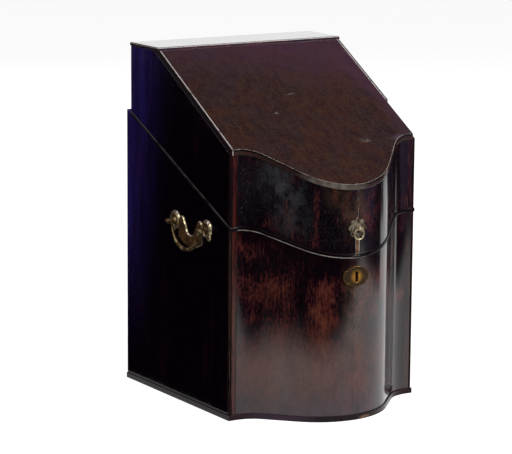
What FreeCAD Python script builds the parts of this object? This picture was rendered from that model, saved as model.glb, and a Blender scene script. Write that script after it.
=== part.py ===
import FreeCAD, Part
import math
import os
import Sketcher

# Decanter box: a serpentine-front case with a sloping lid on butt hinges, brass side handles,
# a ring pull on the lid and a box lock. Millimetres. X is the width, the front faces -Y, Z is up.

DOC = FreeCAD.newDocument("decanter_box")
SHEET = DOC.addObject("Spreadsheet::Sheet", "Sizes")

# Driving sizes. Heights of the case are measured from the top of the bottom board.
SIZES = {
    # case and serpentine front
    "box_width": 228.0,
    "side_depth": 214.0,
    "bow_depth": 61.0,
    "cove_share": 0.158,
    "crown_share": 0.329,
    "base_thick": 5.5,
    "base_lip": 1.2,
    "seam_front": 193.0,
    "seam_back": 291.5,
    "side_thick": 8.0,
    "front_thick": 14.0,
    "string_wide": 3.0,
    # lid
    "slope_front": 277.0,
    "lid_height": 365.0,
    "top_start": 146.0,
    "lid_setback": 9.0,
    "lid_back_thick": 9.0,
    "slope_thick": 5.0,
    "slope_lip": 0.8,
    "top_thick": 3.5,
    "top_lip": 0.8,
    "top_round": 1.2,
    "bead_high": 3.0,
    "bead_proud": 0.8,
    "seam_gap": 0.4,
    "string_break": 51.0,
    "chip_left": 5.0,
    "chip_right": 17.5,
    "chip_deep": 2.0,
    # fitted inside
    "lining_thick": 2.5,
    "lining_drop": 1.0,
    "floor_thick": 3.0,
    "divider_thick": 5.0,
    "divider_high": 120.0,
    "rear_cell_deep": 95.0,
    "halving_gap": 0.2,
    "divider_gap": 0.3,
    # hinges
    "hinge_inset": 54.0,
    "hinge_long": 36.0,
    "hinge_stand": 2.8,
    "knuckle_radius": 2.4,
    "knuckle_long": 13.4,
    "knuckle_gap": 0.3,
    "hinge_pin_radius": 1.1,
    "pin_clearance": 0.05,
    "leaf_thick": 1.4,
    "leaf_reach": 8.0,
    "leaf_high": 16.0,
    "leaf_web": 3.0,
    "leaf_screw_high": 10.0,
    "screw_spread": 12.0,
    "screw_head": 1.9,
    "screw_shank": 1.0,
    "screw_long": 6.0,
    # lock
    "lock_cover": 5.0,
    "lock_wide": 35.0,
    "lock_foot": 8.0,
    "lock_wall": 1.0,
    "lock_plate_wide": 48.0,
    "lock_plate_thick": 1.5,
    "lock_plate_inset": 5.0,
    "eye_place": 7.0,
    "eye_thick": 2.0,
    "eye_deep": 6.0,
    "eye_wide": 3.2,
    "eye_hole": 3.0,
    "eye_hole_drop": 3.6,
    "eye_setback": 8.0,
    "eye_room": 0.5,
    "bolt_throw": 4.0,
    "bolt_finger": 1.8,
    "bolt_riser": 2.0,
    "bolt_drop": 7.4,
    "key_room": 4.7,
    "bolt_gap": 0.1,
    "bolt_tip_gap": 0.5,
    "talon_wide": 4.0,
    "talon_high": 3.0,
    "keyhole_drop": 21.7,
    "keyhole_radius": 2.2,
    "keyhole_slot": 3.4,
    "keyhole_long": 11.5,
    "key_pin_radius": 0.9,
    "escutcheon_wide": 31.0,
    "escutcheon_high": 21.0,
    "escutcheon_thick": 1.0,
    # ring pull
    "ring_height": 196.0,
    "ring_plate_radius": 7.6,
    "ring_lobe_radius": 2.9,
    "ring_plate_thick": 1.4,
    "ring_stand": 2.8,
    "ring_knob_radius": 2.3,
    "ring_stem_radius": 1.3,
    "ring_radius": 5.6,
    "ring_wire": 0.85,
    "ring_room": 0.65,
    "ring_shank": 8.0,
    # side handles
    "handle_setback": 77.6,
    "handle_height": 186.3,
    "post_spread": 64.0,
    "plate_thick": 1.4,
    "plate_bevel": 0.9,
    "rosette_radius": 9.8,
    "rosette_rise": 1.6,
    "rosette_bead": 0.7,
    "rosette_step": 1.7,
    "lobe_radius": 4.6,
    "lobe_reach": 18.2,
    "lobe_rise": 3.2,
    "tail_radius": 4.2,
    "tail_out": 3.6,
    "tail_drop": 8.4,
    "swag_radius": 40.0,
    "swag_drop": 23.5,
    "swag_half": 23.5,
    "swag_top": 4.0,
    "dip_radius": 9.0,
    "dip_low": 10.3,
    "flare_radius": 14.0,
    "flare_low": 5.0,
    "post_stand": 6.0,
    "post_stem": 2.2,
    "post_collar": 4.0,
    "post_collar_long": 1.6,
    "post_ball": 2.8,
    "post_shank": 1.9,
    "nut_radius": 4.2,
    "nut_thick": 2.8,
    "bail_half": 27.2,
    "bail_drop": 24.5,
    "bail_arm": 1.15,
    "bail_grip": 2.25,
    "bail_shoulder": 1.4,
    "bail_pin": 1.1,
    "bail_knob": 2.3,
    "bail_knob_gap": 0.3,
}

for row, (alias, number) in enumerate(SIZES.items(), start=1):
    SHEET.set("A%d" % row, alias)
    SHEET.set("B%d" % row, str(number))
    SHEET.setAlias("B%d" % row, alias)
DOC.recompute()

# Distance by which cutting profiles run past the wood that they trim.
OVERRUN = 20.0

# Share of the chip's length that is broken to its full depth.
CHIP_WAIST = 0.7


class Dim:
    """A length that carries its number and its formula in the sheet."""

    def __init__(self, value, text):
        self.value = value
        self.text = text

    def __add__(self, other):
        other = as_dim(other)
        return Dim(self.value + other.value, "(%s + %s)" % (self.text, other.text))

    def __sub__(self, other):
        other = as_dim(other)
        return Dim(self.value - other.value, "(%s - %s)" % (self.text, other.text))

    def __mul__(self, other):
        other = as_dim(other)
        return Dim(self.value * other.value, "(%s * %s)" % (self.text, other.text))

    def __truediv__(self, other):
        other = as_dim(other)
        return Dim(self.value / other.value, "(%s / %s)" % (self.text, other.text))

    def __neg__(self):
        return Dim(-self.value, "(0 - %s)" % self.text)


def as_dim(number):
    if isinstance(number, Dim):
        return number
    return Dim(float(number), "%.6f" % number)


def size(alias):
    return Dim(float(SIZES[alias]), "Sizes.%s" % alias)


def root(number):
    return Dim(math.sqrt(number.value), "sqrt(%s)" % number.text)


ZERO = as_dim(0.0)

# Planes and lines that several pieces share.
HALF = size("box_width") / 2
COVE = size("box_width") * size("cove_share")
CROWN = size("box_width") * size("crown_share")
COVE_X = HALF - size("side_thick")
RING_REACH = size("ring_plate_thick") + size("ring_stand") + size("ring_knob_radius")
CORNER_Y = (size("bow_depth") + RING_REACH - size("side_depth")) / 2
BACK_Y = CORNER_Y + size("side_depth")
CROWN_Y = CORNER_Y - size("bow_depth")
COVE_CENTRE_Y = CORNER_Y - COVE
CROWN_CENTRE_Y = CROWN_Y + CROWN
LID_BACK_Y = BACK_Y - size("lid_setback")
INNER_BACK_Y = LID_BACK_Y - size("lid_back_thick")
FLOOR_Z = size("base_thick")
LINING_Z = FLOOR_Z + size("floor_thick")
LID_TOP_Z = FLOOR_Z + size("lid_height")
TOP_UNDER_Z = LID_TOP_Z - size("top_thick")
SEAM_RISE = (size("seam_back") - size("seam_front")) / size("side_depth")
SEAM_LEAN = root(SEAM_RISE * SEAM_RISE + 1)
SLOPE_RISE = (size("lid_height") - size("top_thick") - size("slope_front")) / size("top_start")
SLOPE_DROP = size("slope_thick") * root(SLOPE_RISE * SLOPE_RISE + 1)
TOP_START_Y = CORNER_Y + size("top_start")
SLOPE_END_Y = TOP_START_Y + SLOPE_DROP / SLOPE_RISE
BEAD_RISE = size("bead_high") * SEAM_LEAN
FRONT_LIMIT = CROWN_Y - OVERRUN
BACK_LIMIT = BACK_Y + OVERRUN
HIGH_LIMIT = LID_TOP_Z + OVERRUN
LOW_LIMIT = ZERO - OVERRUN


def seam(place, up=ZERO):
    """Height of the inclined seam plane at depth place, raised by up."""
    return FLOOR_Z + size("seam_front") + SEAM_RISE * (place - CORNER_Y) + up


def slope(place, up=ZERO):
    """Height of the slope's upper face at depth place, raised by up."""
    return FLOOR_Z + size("slope_front") + SLOPE_RISE * (place - CORNER_Y) + up


LID_FOOT = size("seam_gap") + BEAD_RISE

# Sketch and feature helpers.


def new_body(name):
    return DOC.addObject("PartDesign::Body", name)


def new_sketch(body, role, offset=ZERO):
    sketch = body.newObject("Sketcher::SketchObject", body.Name + "_sketch")
    plane = [item for item in body.Origin.OriginFeatures if item.Role == role][0]
    sketch.AttachmentSupport = [(plane, "")]
    sketch.MapMode = "FlatFace"
    sketch.setExpression("AttachmentOffset.Base.z", offset.text)
    return sketch


def bind(sketch, kind, geometry, length, point=None):
    """Add a dimension whose value follows a formula."""
    if point is None:
        constraint = Sketcher.Constraint(kind, geometry, length.value)
    else:
        constraint = Sketcher.Constraint(kind, geometry, point, length.value)
    index = sketch.addConstraint(constraint)
    sketch.setExpression("Constraints[%d]" % index, length.text)


def pin_point(sketch, geometry, point, across, up):
    bind(sketch, "DistanceX", geometry, across, point)
    bind(sketch, "DistanceY", geometry, up, point)


def join(sketch, first, first_end, second, second_end):
    sketch.addConstraint(Sketcher.Constraint("Coincident", first, first_end, second, second_end))


def spot(across, up):
    return FreeCAD.Vector(across.value, up.value, 0)


def polygon(sketch, corners):
    """Closed outline of straight sides through corners."""
    count = len(corners)
    first = sketch.GeometryCount
    for index in range(count):
        start = spot(*corners[index])
        end = spot(*corners[(index + 1) % count])
        sketch.addGeometry(Part.LineSegment(start, end))
    for index in range(count):
        join(sketch, first + index, 2, first + (index + 1) % count, 1)
    for index in range(count):
        pin_point(sketch, first + index, 1, *corners[index])


def rectangle(sketch, left, right, low, high):
    polygon(sketch, [(left, low), (right, low), (right, high), (left, high)])


def circle(sketch, across, up, radius):
    index = sketch.addGeometry(Part.Circle(spot(across, up), FreeCAD.Vector(0, 0, 1), radius.value))
    pin_point(sketch, index, 3, across, up)
    bind(sketch, "Radius", index, radius)


def pad(body, sketch, length, backwards=False, both=False):
    feature = body.newObject("PartDesign::Pad", body.Name + "_pad")
    feature.Profile = sketch
    feature.setExpression("Length", length.text)
    feature.SideType = "Symmetric" if both else "One side"
    feature.Reversed = backwards
    sketch.Visibility = False
    return feature


def pocket(body, sketch):
    """Cut right through, to both sides of the sketch."""
    feature = body.newObject("PartDesign::Pocket", body.Name + "_pocket")
    feature.Profile = sketch
    feature.Type = "ThroughAll"
    feature.SideType = "Symmetric"
    return feature


def trim(body, corners):
    """Cut a side profile right through the width of a body."""
    sketch = new_sketch(body, "YZ_Plane")
    polygon(sketch, corners)
    return pocket(body, sketch)


def trim_above(body, height, raised=ZERO):
    trim(body, [
        (FRONT_LIMIT, height(FRONT_LIMIT, raised)),
        (BACK_LIMIT, height(BACK_LIMIT, raised)),
        (BACK_LIMIT, HIGH_LIMIT * 2),
        (FRONT_LIMIT, HIGH_LIMIT * 2),
    ])


def trim_below(body, height, raised=ZERO):
    trim(body, [
        (FRONT_LIMIT, LOW_LIMIT),
        (BACK_LIMIT, LOW_LIMIT),
        (BACK_LIMIT, height(BACK_LIMIT, raised)),
        (FRONT_LIMIT, height(FRONT_LIMIT, raised)),
    ])


def side_board(name, corners, left, right):
    """Board with a side profile, from left to right across the width."""
    body = new_body(name)
    sketch = new_sketch(body, "YZ_Plane", left)
    polygon(sketch, corners)
    pad(body, sketch, right - left)
    return body


def block(name, left, right, front, back, low, high):
    """Straight block between six planes."""
    box = DOC.addObject("Part::Box", name)
    box.setExpression("Length", (right - left).text)
    box.setExpression("Width", (back - front).text)
    box.setExpression("Height", (high - low).text)
    box.setExpression("Placement.Base.x", left.text)
    box.setExpression("Placement.Base.y", front.text)
    box.setExpression("Placement.Base.z", low.text)
    return box


TURNS = {
    "X": FreeCAD.Rotation(FreeCAD.Vector(0, 1, 0), 90),
    "-X": FreeCAD.Rotation(FreeCAD.Vector(0, 1, 0), -90),
    "Y": FreeCAD.Rotation(FreeCAD.Vector(1, 0, 0), -90),
    "-Y": FreeCAD.Rotation(FreeCAD.Vector(1, 0, 0), 90),
    "Z": FreeCAD.Rotation(),
}


def put(item, centre, axis="Z"):
    item.Placement = FreeCAD.Placement(FreeCAD.Vector(), TURNS[axis])
    for letter, length in zip("xyz", centre):
        item.setExpression("Placement.Base.%s" % letter, length.text)
    return item


def rod(name, radius, length, start, axis):
    """Round bar from start along axis."""
    item = DOC.addObject("Part::Cylinder", name)
    item.setExpression("Radius", radius.text)
    item.setExpression("Height", length.text)
    return put(item, start, axis)


def taper(name, radius, end_radius, length, start, axis):
    item = DOC.addObject("Part::Cone", name)
    item.setExpression("Radius1", radius.text)
    item.setExpression("Radius2", end_radius.text)
    item.setExpression("Height", length.text)
    return put(item, start, axis)


def ball(name, radius, centre):
    item = DOC.addObject("Part::Sphere", name)
    item.setExpression("Radius", radius.text)
    return put(item, centre)


def hoop(name, radius, wire, centre, axis):
    item = DOC.addObject("Part::Torus", name)
    item.setExpression("Radius1", radius.text)
    item.setExpression("Radius2", wire.text)
    return put(item, centre, axis)


def fuse(name, items):
    item = DOC.addObject("Part::MultiFuse", name)
    item.Shapes = items
    return item


def cut(name, base, tools):
    """Take each tool away from base."""
    for index, tool in enumerate(tools):
        last = index == len(tools) - 1
        item = DOC.addObject("Part::Cut", name if last else "%s_step%d" % (name, index))
        item.Base = base
        item.Tool = tool
        base = item
    return base


def common(name, base, tool):
    item = DOC.addObject("Part::Common", name)
    item.Base = base
    item.Tool = tool
    return item


def group(name, items):
    item = DOC.addObject("Part::Compound", name)
    item.Links = items
    return item


NODES = {}


def node(label, item):
    item.Label = label
    NODES[label] = item
    return item


# Serpentine outline: a cove at each side, a straight, and a crown across the middle.


def serpentine(sketch, out):
    """Draw the curve moved outwards by out; gives its right and left end segments."""
    cove = COVE - out
    crown = CROWN + out
    across = COVE_X.value
    fall = CROWN_CENTRE_Y.value - COVE_CENTRE_Y.value
    reach = COVE.value + CROWN.value
    straight = math.sqrt(across ** 2 + fall ** 2 - reach ** 2)
    turn = math.atan2(across, fall) - math.atan2(straight, reach)
    normal = FreeCAD.Vector(math.sin(turn), -math.cos(turn), 0)
    mirror = FreeCAD.Vector(-normal.x, normal.y, 0)
    up = FreeCAD.Vector(0, 0, 1)
    crown_centre = FreeCAD.Vector(0, CROWN_CENTRE_Y.value, 0)
    quarter = math.pi / 2
    ends = []
    crown_arc = sketch.addGeometry(Part.ArcOfCircle(
        Part.Circle(crown_centre, up, crown.value), -quarter - turn, -quarter + turn))
    pin_point(sketch, crown_arc, 3, ZERO, CROWN_CENTRE_Y)
    bind(sketch, "Radius", crown_arc, crown)
    for side, outward, start, end, foot, head in (
            (COVE_X, normal, quarter, quarter + turn, 1, 2),
            (-COVE_X, mirror, quarter - turn, quarter, 2, 1)):
        centre = spot(side, COVE_CENTRE_Y)
        arc = sketch.addGeometry(Part.ArcOfCircle(Part.Circle(centre, up, cove.value), start, end))
        pin_point(sketch, arc, 3, side, COVE_CENTRE_Y)
        bind(sketch, "Radius", arc, cove)
        bind(sketch, "DistanceX", arc, side, foot)
        line = sketch.addGeometry(Part.LineSegment(
            centre - outward * cove.value, crown_centre + outward * crown.value))
        sketch.addConstraint(Sketcher.Constraint("Tangent", arc, head, line, 1))
        crown_end = 2 if outward is normal else 1
        sketch.addConstraint(Sketcher.Constraint("Tangent", line, 2, crown_arc, crown_end))
        ends.append((arc, foot))
    return ends


def band(name, outer, inner, low, high):
    """Serpentine wall between two offsets of the front curve."""
    body = new_body(name)
    sketch = new_sketch(body, "XY_Plane", low)
    outer_ends = serpentine(sketch, outer)
    inner_ends = serpentine(sketch, inner)
    for side, outside, inside in zip((COVE_X, -COVE_X), outer_ends, inner_ends):
        start = spot(side, CORNER_Y - outer)
        end = spot(side, CORNER_Y - inner)
        line = sketch.addGeometry(Part.LineSegment(start, end))
        join(sketch, line, 1, *outside)
        join(sketch, line, 2, *inside)
    pad(body, sketch, high - low)
    return body


def plan(name, out, half_width, back, low, high):
    """Plate with the serpentine front, straight sides and a straight back."""
    body = new_body(name)
    sketch = new_sketch(body, "XY_Plane", low)
    right, left = serpentine(sketch, out)
    front = CORNER_Y - out
    corners = [(half_width, back), (-half_width, back)]
    start = (COVE_X, front)
    finish = (-COVE_X, front)
    if half_width.value > COVE_X.value:
        corners = [(half_width, front)] + corners + [(-half_width, front)]
    route = [start] + corners + [finish]
    lines = []
    for begin, end in zip(route[:-1], route[1:]):
        lines.append(sketch.addGeometry(Part.LineSegment(spot(*begin), spot(*end))))
    join(sketch, lines[0], 1, *right)
    join(sketch, lines[-1], 2, *left)
    for before, after, corner in zip(lines[:-1], lines[1:], corners):
        join(sketch, before, 2, after, 1)
        pin_point(sketch, after, 1, *corner)
    pad(body, sketch, high - low)
    return body


# Carcass.

front_in = -size("front_thick")
string_inner = HALF - size("string_wide")
string_back = CORNER_Y + size("string_wide")

bottom_body = plan("bottom_board", size("base_lip"), HALF + size("base_lip"), BACK_Y, ZERO, FLOOR_Z)
node("bottom_board", bottom_body)

front_body = band("front_wall", ZERO, front_in, FLOOR_Z, HIGH_LIMIT)
trim_above(front_body, seam)


def carcass_side(name, sign):
    inner = COVE_X if sign > 0 else -HALF
    outer = HALF if sign > 0 else -COVE_X
    board = side_board(name + "_board", [
        (CORNER_Y, FLOOR_Z),
        (BACK_Y, FLOOR_Z),
        (BACK_Y, seam(BACK_Y)),
        (CORNER_Y, seam(CORNER_Y)),
    ], inner, outer)
    return board


def string_span(sign):
    if sign > 0:
        return string_inner, HALF
    return -HALF, -string_inner


def carcass_string(name, sign):
    left, right = string_span(sign)
    return side_board(name, [
        (CORNER_Y, FLOOR_Z),
        (string_back, FLOOR_Z),
        (string_back, seam(string_back)),
        (CORNER_Y, seam(CORNER_Y)),
    ], left, right)


def lid_string(name, sign):
    left, right = string_span(sign)
    return side_board(name, [
        (CORNER_Y, seam(CORNER_Y, LID_FOOT)),
        (string_back, seam(string_back, LID_FOOT)),
        (string_back, slope(string_back, -SLOPE_DROP)),
        (CORNER_Y, slope(CORNER_Y, -SLOPE_DROP)),
    ], left, right)


# Side handles: a cast plate, two posts held by nuts inside the side, and a bail between the posts.

HANDLE_Y = CORNER_Y + size("handle_setback")
HANDLE_Z = FLOOR_Z + size("handle_height")
POST_HALF = size("post_spread") / 2
POST_X = HALF + size("plate_thick") + size("post_stand")
BAIL_SECTIONS = 13


def handle(side_name, sign):
    """All the brass of one side; sign is +1 on the right."""
    axis = "X" if sign > 0 else "-X"
    face = HALF * sign
    posts = (HANDLE_Y - POST_HALF, HANDLE_Y + POST_HALF)
    pieces = []
    beads = []

    def plate_disc(part, radius, depth, height, grows=-1):
        """Disc of the plate's thickness with a bevelled edge; a cutting one grows outwards."""
        return taper("%s_%s" % (side_name, part), radius, radius + size("plate_bevel") * grows,
                     size("plate_thick"), (face, depth, height), axis)

    for index, place in enumerate(posts):
        inward = 1 if index == 0 else -1
        rosette_z = HANDLE_Z + size("rosette_rise")
        pieces.append(plate_disc("rosette%d" % index, size("rosette_radius"), place, rosette_z))
        pieces.append(plate_disc("lobe%d" % index, size("lobe_radius"),
                                 HANDLE_Y - size("lobe_reach") * inward, HANDLE_Z + size("lobe_rise")))
        pieces.append(plate_disc("tail%d" % index, size("tail_radius"),
                                 place - size("tail_out") * inward, rosette_z - size("tail_drop")))
        rim = (face + size("plate_thick") * sign, place, rosette_z)
        for step in (0, 1):
            radius = (size("rosette_radius") - size("plate_bevel") - size("rosette_bead")
                      - size("rosette_step") * step)
            beads.append(hoop("%s_bead%d%d" % (side_name, index, step), radius,
                              size("rosette_bead"), rim, axis))
    swag_disc = plate_disc("swag_disc", size("swag_radius"), HANDLE_Y,
                           HANDLE_Z + size("swag_radius") - size("swag_drop"))
    low_face = face if sign > 0 else face - size("plate_thick")
    swag_window = block(side_name + "_swag_window", low_face, low_face + size("plate_thick"),
                        HANDLE_Y - size("swag_half"), HANDLE_Y + size("swag_half"),
                        HANDLE_Z - size("swag_drop"), HANDLE_Z + size("swag_top"))
    swag = common(side_name + "_swag", swag_disc, swag_window)
    bites = []
    for bite in ("dip", "flare"):
        radius = size(bite + "_radius")
        bites.append(plate_disc(bite, radius, HANDLE_Y, HANDLE_Z + radius - size(bite + "_low"), 1))
    plate_body = fuse(side_name + "_plate_body",
                      pieces + [cut(side_name + "_swag_cut", swag, bites)])
    beads_ring = fuse(side_name + "_beads", beads)
    plate_raw = fuse(side_name + "_plate_raw", [plate_body, beads_ring])

    inner_face = (HALF - size("side_thick")) * sign
    post_items = []
    nut_items = []
    shank_tools = []
    centre_x = POST_X * sign
    shank_long = size("plate_thick") + size("side_thick")
    seat = face + size("plate_thick") * sign
    for index, place in enumerate(posts):
        tag = "%s_post%d" % (side_name, index)
        shank = rod(tag + "_shank", size("post_shank"), shank_long,
                    (inner_face, place, HANDLE_Z), axis)
        shank_tools.append(shank)
        collar = taper(tag + "_collar", size("post_collar"), size("post_stem"),
                       size("post_collar_long"), (seat, place, HANDLE_Z), axis)
        stem = rod(tag + "_stem", size("post_stem"), size("post_stand"),
                   (seat, place, HANDLE_Z), axis)
        knob = ball(tag + "_knob", size("post_ball"), (centre_x, place, HANDLE_Z))
        solid = fuse(tag + "_solid", [shank, collar, stem, knob])
        bore_axis = "-Y" if index == 0 else "Y"
        inward = 1 if index == 0 else -1
        bore_start = (centre_x, place + size("post_ball") * inward * 2, HANDLE_Z)
        bore_long = size("post_ball") * 4
        bore = rod(tag + "_bore", size("bail_pin") + size("pin_clearance"), bore_long,
                   bore_start, bore_axis)
        post_items.append(cut(tag, solid, [bore]))
        nut = rod(tag + "_nut", size("nut_radius"), size("nut_thick"),
                  (inner_face, place, HANDLE_Z), axis)
        nut_items.append(nut)
    node(side_name + "_handle_plate",
         cut(side_name + "_handle_plate", plate_raw, shank_tools))
    node(side_name + "_handle_posts", group(side_name + "_handle_posts", post_items))
    nuts_raw = group(side_name + "_nuts_raw", nut_items)
    shanks = group(side_name + "_shanks", shank_tools)
    node(side_name + "_handle_nuts", cut(side_name + "_handle_nuts", nuts_raw, [shanks]))
    make_bail(side_name, sign, centre_x, posts)
    return [shanks, nuts_raw]


def sorted_pair(first, second):
    if first.value < second.value:
        return first, second
    return second, first


def make_bail(side_name, sign, centre_x, posts):
    """Drop handle: a tapered half-ellipse with a swelled grip, on pins through the posts with ball ends."""
    body = new_body(side_name + "_bail_bow")
    sections = []
    for index in range(BAIL_SECTIONS):
        angle = math.pi * index / (BAIL_SECTIONS - 1)
        across = size("bail_half") * math.cos(angle)
        drop = size("bail_drop") * math.sin(angle)
        swell = math.sin(angle) ** 2
        radius = size("bail_arm") + (size("bail_grip") - size("bail_arm")) * swell
        sketch = new_sketch(body, "XY_Plane")
        circle(sketch, ZERO, ZERO, radius)
        lean = math.atan2(SIZES["bail_drop"] * math.cos(angle), SIZES["bail_half"] * math.sin(angle))
        sketch.AttachmentOffset = FreeCAD.Placement(
            FreeCAD.Vector(), FreeCAD.Rotation(FreeCAD.Vector(1, 0, 0), 90 - math.degrees(lean)))
        sketch.setExpression("AttachmentOffset.Base.x", centre_x.text)
        sketch.setExpression("AttachmentOffset.Base.y", (HANDLE_Y - across).text)
        sketch.setExpression("AttachmentOffset.Base.z", (HANDLE_Z - drop).text)
        sections.append(sketch)
    loft = body.newObject("PartDesign::AdditiveLoft", side_name + "_bail_loft")
    loft.Profile = sections[0]
    loft.Sections = sections[1:]
    parts = [body]
    knob_reach = size("post_ball") + size("bail_knob_gap") + size("bail_knob")
    for index, place in enumerate(posts):
        inward = 1 if index == 0 else -1
        start_y = HANDLE_Y - size("bail_half") * inward
        pin_long = POST_HALF - size("bail_half") + knob_reach
        axis = "-Y" if index == 0 else "Y"
        parts.append(rod("%s_bail_pin%d" % (side_name, index), size("bail_pin"), pin_long,
                         (centre_x, start_y, HANDLE_Z), axis))
        parts.append(ball("%s_bail_knob%d" % (side_name, index), size("bail_knob"),
                          (centre_x, place - knob_reach * inward, HANDLE_Z)))
        parts.append(ball("%s_bail_shoulder%d" % (side_name, index), size("bail_shoulder"),
                          (centre_x, start_y, HANDLE_Z)))
    node(side_name + "_bail", fuse(side_name + "_bail", parts))


for side_name, sign in (("left", -1), ("right", 1)):
    board = carcass_side(side_name + "_side", sign)
    string = node(side_name + "_corner_string", carcass_string(side_name + "_corner_string", sign))
    handle_tools = handle(side_name, sign)
    node(side_name + "_side", cut(side_name + "_side", board, [string] + handle_tools))

# Linings and dividers.

lining_top = -size("lining_drop")
lining_in = front_in - size("lining_thick")
lining_x = COVE_X - size("lining_thick")
lining_back = INNER_BACK_Y - size("lining_thick")
lining_front = CORNER_Y - lining_in
floor_body = plan("floor_lining", front_in, COVE_X, INNER_BACK_Y, FLOOR_Z, LINING_Z)
node("floor_lining", floor_body)

front_lining = band("front_lining", front_in, lining_in, LINING_Z, HIGH_LIMIT)
trim_above(front_lining, seam, lining_top)
node("front_lining", front_lining)

for side_name, left, right in (("left", -COVE_X, -lining_x), ("right", lining_x, COVE_X)):
    node(side_name + "_lining", side_board(side_name + "_lining", [
        (lining_front, LINING_Z),
        (lining_back, LINING_Z),
        (lining_back, seam(lining_back, lining_top)),
        (lining_front, seam(lining_front, lining_top)),
    ], left, right))

node("back_lining", side_board("back_lining", [
    (lining_back, LINING_Z),
    (INNER_BACK_Y, LINING_Z),
    (INNER_BACK_Y, seam(INNER_BACK_Y, lining_top)),
    (lining_back, seam(lining_back, lining_top)),
], -COVE_X, COVE_X))

half_divider = size("divider_thick") / 2
divider_top = LINING_Z + size("divider_high")
halving_z = LINING_Z + size("divider_high") / 2
halving_half = half_divider + size("halving_gap")
cross_y = lining_back - size("rear_cell_deep") - half_divider
long_front = CROWN_Y - lining_in + size("divider_gap")
long_blank = block("long_blank", -half_divider, half_divider, long_front, lining_back,
                   LINING_Z, divider_top)
long_notch = block("long_notch", -halving_half, halving_half, cross_y - halving_half,
                   cross_y + halving_half, halving_z, divider_top)
node("long_divider", cut("long_divider", long_blank, [long_notch]))
cross_blank = block("cross_blank", -lining_x, lining_x, cross_y - half_divider,
                    cross_y + half_divider, LINING_Z, divider_top)
cross_notch = block("cross_notch", -halving_half, halving_half, cross_y - halving_half,
                    cross_y + halving_half, LINING_Z, halving_z)
node("cross_divider", cut("cross_divider", cross_blank, [cross_notch]))

# Box lock in the crown of the front board.

LOCK_FRONT = CROWN_Y + size("lock_cover")
LOCK_BACK = CROWN_Y + size("front_thick")
LOCK_HALF = size("lock_wide") / 2
CAVITY_HALF = LOCK_HALF - size("lock_wall")
CAVITY_FRONT = LOCK_FRONT + size("lock_wall")
CAP_FRONT = LOCK_BACK - size("lock_wall")
KEY_Z = seam(LOCK_FRONT) - size("keyhole_drop")
KEY_LOW = KEY_Z - size("keyhole_long") / 2
KEY_TOP = KEY_Z + size("keyhole_long") / 2 - size("keyhole_radius")
LOCK_LOW = KEY_LOW - size("lock_foot")
PLATE_DROP = size("lock_plate_thick") * SEAM_LEAN
EYE_Y = CROWN_Y + size("eye_setback")
EYE_SINE = SEAM_RISE / SEAM_LEAN
EYE_COSINE = as_dim(1.0) / SEAM_LEAN
EYE_HOLE_Y = EYE_Y + size("eye_hole_drop") * EYE_SINE
EYE_HOLE_Z = seam(EYE_Y) - size("eye_hole_drop") * EYE_COSINE


def upright(name, left, right, front, back):
    """Tall block whose top and bottom are cut to a plane later."""
    body = new_body(name)
    sketch = new_sketch(body, "XY_Plane", LOW_LIMIT)
    rectangle(sketch, left, right, front, back)
    pad(body, sketch, HIGH_LIMIT - LOW_LIMIT)
    return body


def level(height):
    """A level plane in the form that the trimming helpers take."""
    return lambda place, up=ZERO: height + up


lock_block = upright("lock_block", -LOCK_HALF, LOCK_HALF, LOCK_FRONT, LOCK_BACK + OVERRUN)
trim_above(lock_block, seam, -PLATE_DROP)
trim_below(lock_block, level(LOCK_LOW))
lock_shell = upright("lock_shell", -LOCK_HALF, LOCK_HALF, LOCK_FRONT, LOCK_BACK)
trim_above(lock_shell, seam, -PLATE_DROP)
trim_below(lock_shell, level(LOCK_LOW))
lock_cavity = upright("lock_cavity", -CAVITY_HALF, CAVITY_HALF, CAVITY_FRONT, LOCK_BACK)
trim_below(lock_cavity, level(LOCK_LOW + size("lock_wall")))
lock_cap = upright("lock_cap", -CAVITY_HALF, CAVITY_HALF, CAP_FRONT, LOCK_BACK)
trim_above(lock_cap, seam, -PLATE_DROP)
trim_below(lock_cap, level(LOCK_LOW + size("lock_wall")))
node("lock_cap", lock_cap)

keyhole = fuse("keyhole", [
    rod("keyhole_round", size("keyhole_radius"), CAVITY_FRONT - FRONT_LIMIT,
        (ZERO, FRONT_LIMIT, KEY_TOP), "Y"),
    block("keyhole_slot", -size("keyhole_slot") / 2, size("keyhole_slot") / 2, FRONT_LIMIT,
          CAVITY_FRONT, KEY_LOW, KEY_TOP),
])
node("key_pin", rod("key_pin", size("key_pin_radius"), CAP_FRONT - LOCK_FRONT,
                    (ZERO, LOCK_FRONT, KEY_TOP), "Y"))

plate_half = size("lock_plate_wide") / 2
plate_front_y = CROWN_Y + size("lock_plate_inset")
lock_recess = upright("lock_recess", -plate_half, plate_half, plate_front_y, LOCK_BACK + OVERRUN)
trim_below(lock_recess, seam, -PLATE_DROP)
lock_plate_blank = common("lock_plate_blank", front_body, lock_recess)


def tilted(item, place, height):
    """Lean an item back about X so that its Z stands square to the seam plane."""
    item.Placement = FreeCAD.Placement(FreeCAD.Vector(), FreeCAD.Rotation(FreeCAD.Vector(1, 0, 0), 1))
    item.setExpression("Placement.Rotation.Angle", "atan(%s)" % SEAM_RISE.text)
    item.setExpression("Placement.Base.y", place.text)
    item.setExpression("Placement.Base.z", height.text)
    return item


def local_box(name, left, right, front, back, low, high):
    """Block drawn in its own frame, to be leaned with the seam plane."""
    body = new_body(name)
    sketch = new_sketch(body, "XY_Plane", low)
    rectangle(sketch, left, right, front, back)
    pad(body, sketch, high - low)
    return tilted(body, EYE_Y, seam(EYE_Y))


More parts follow.
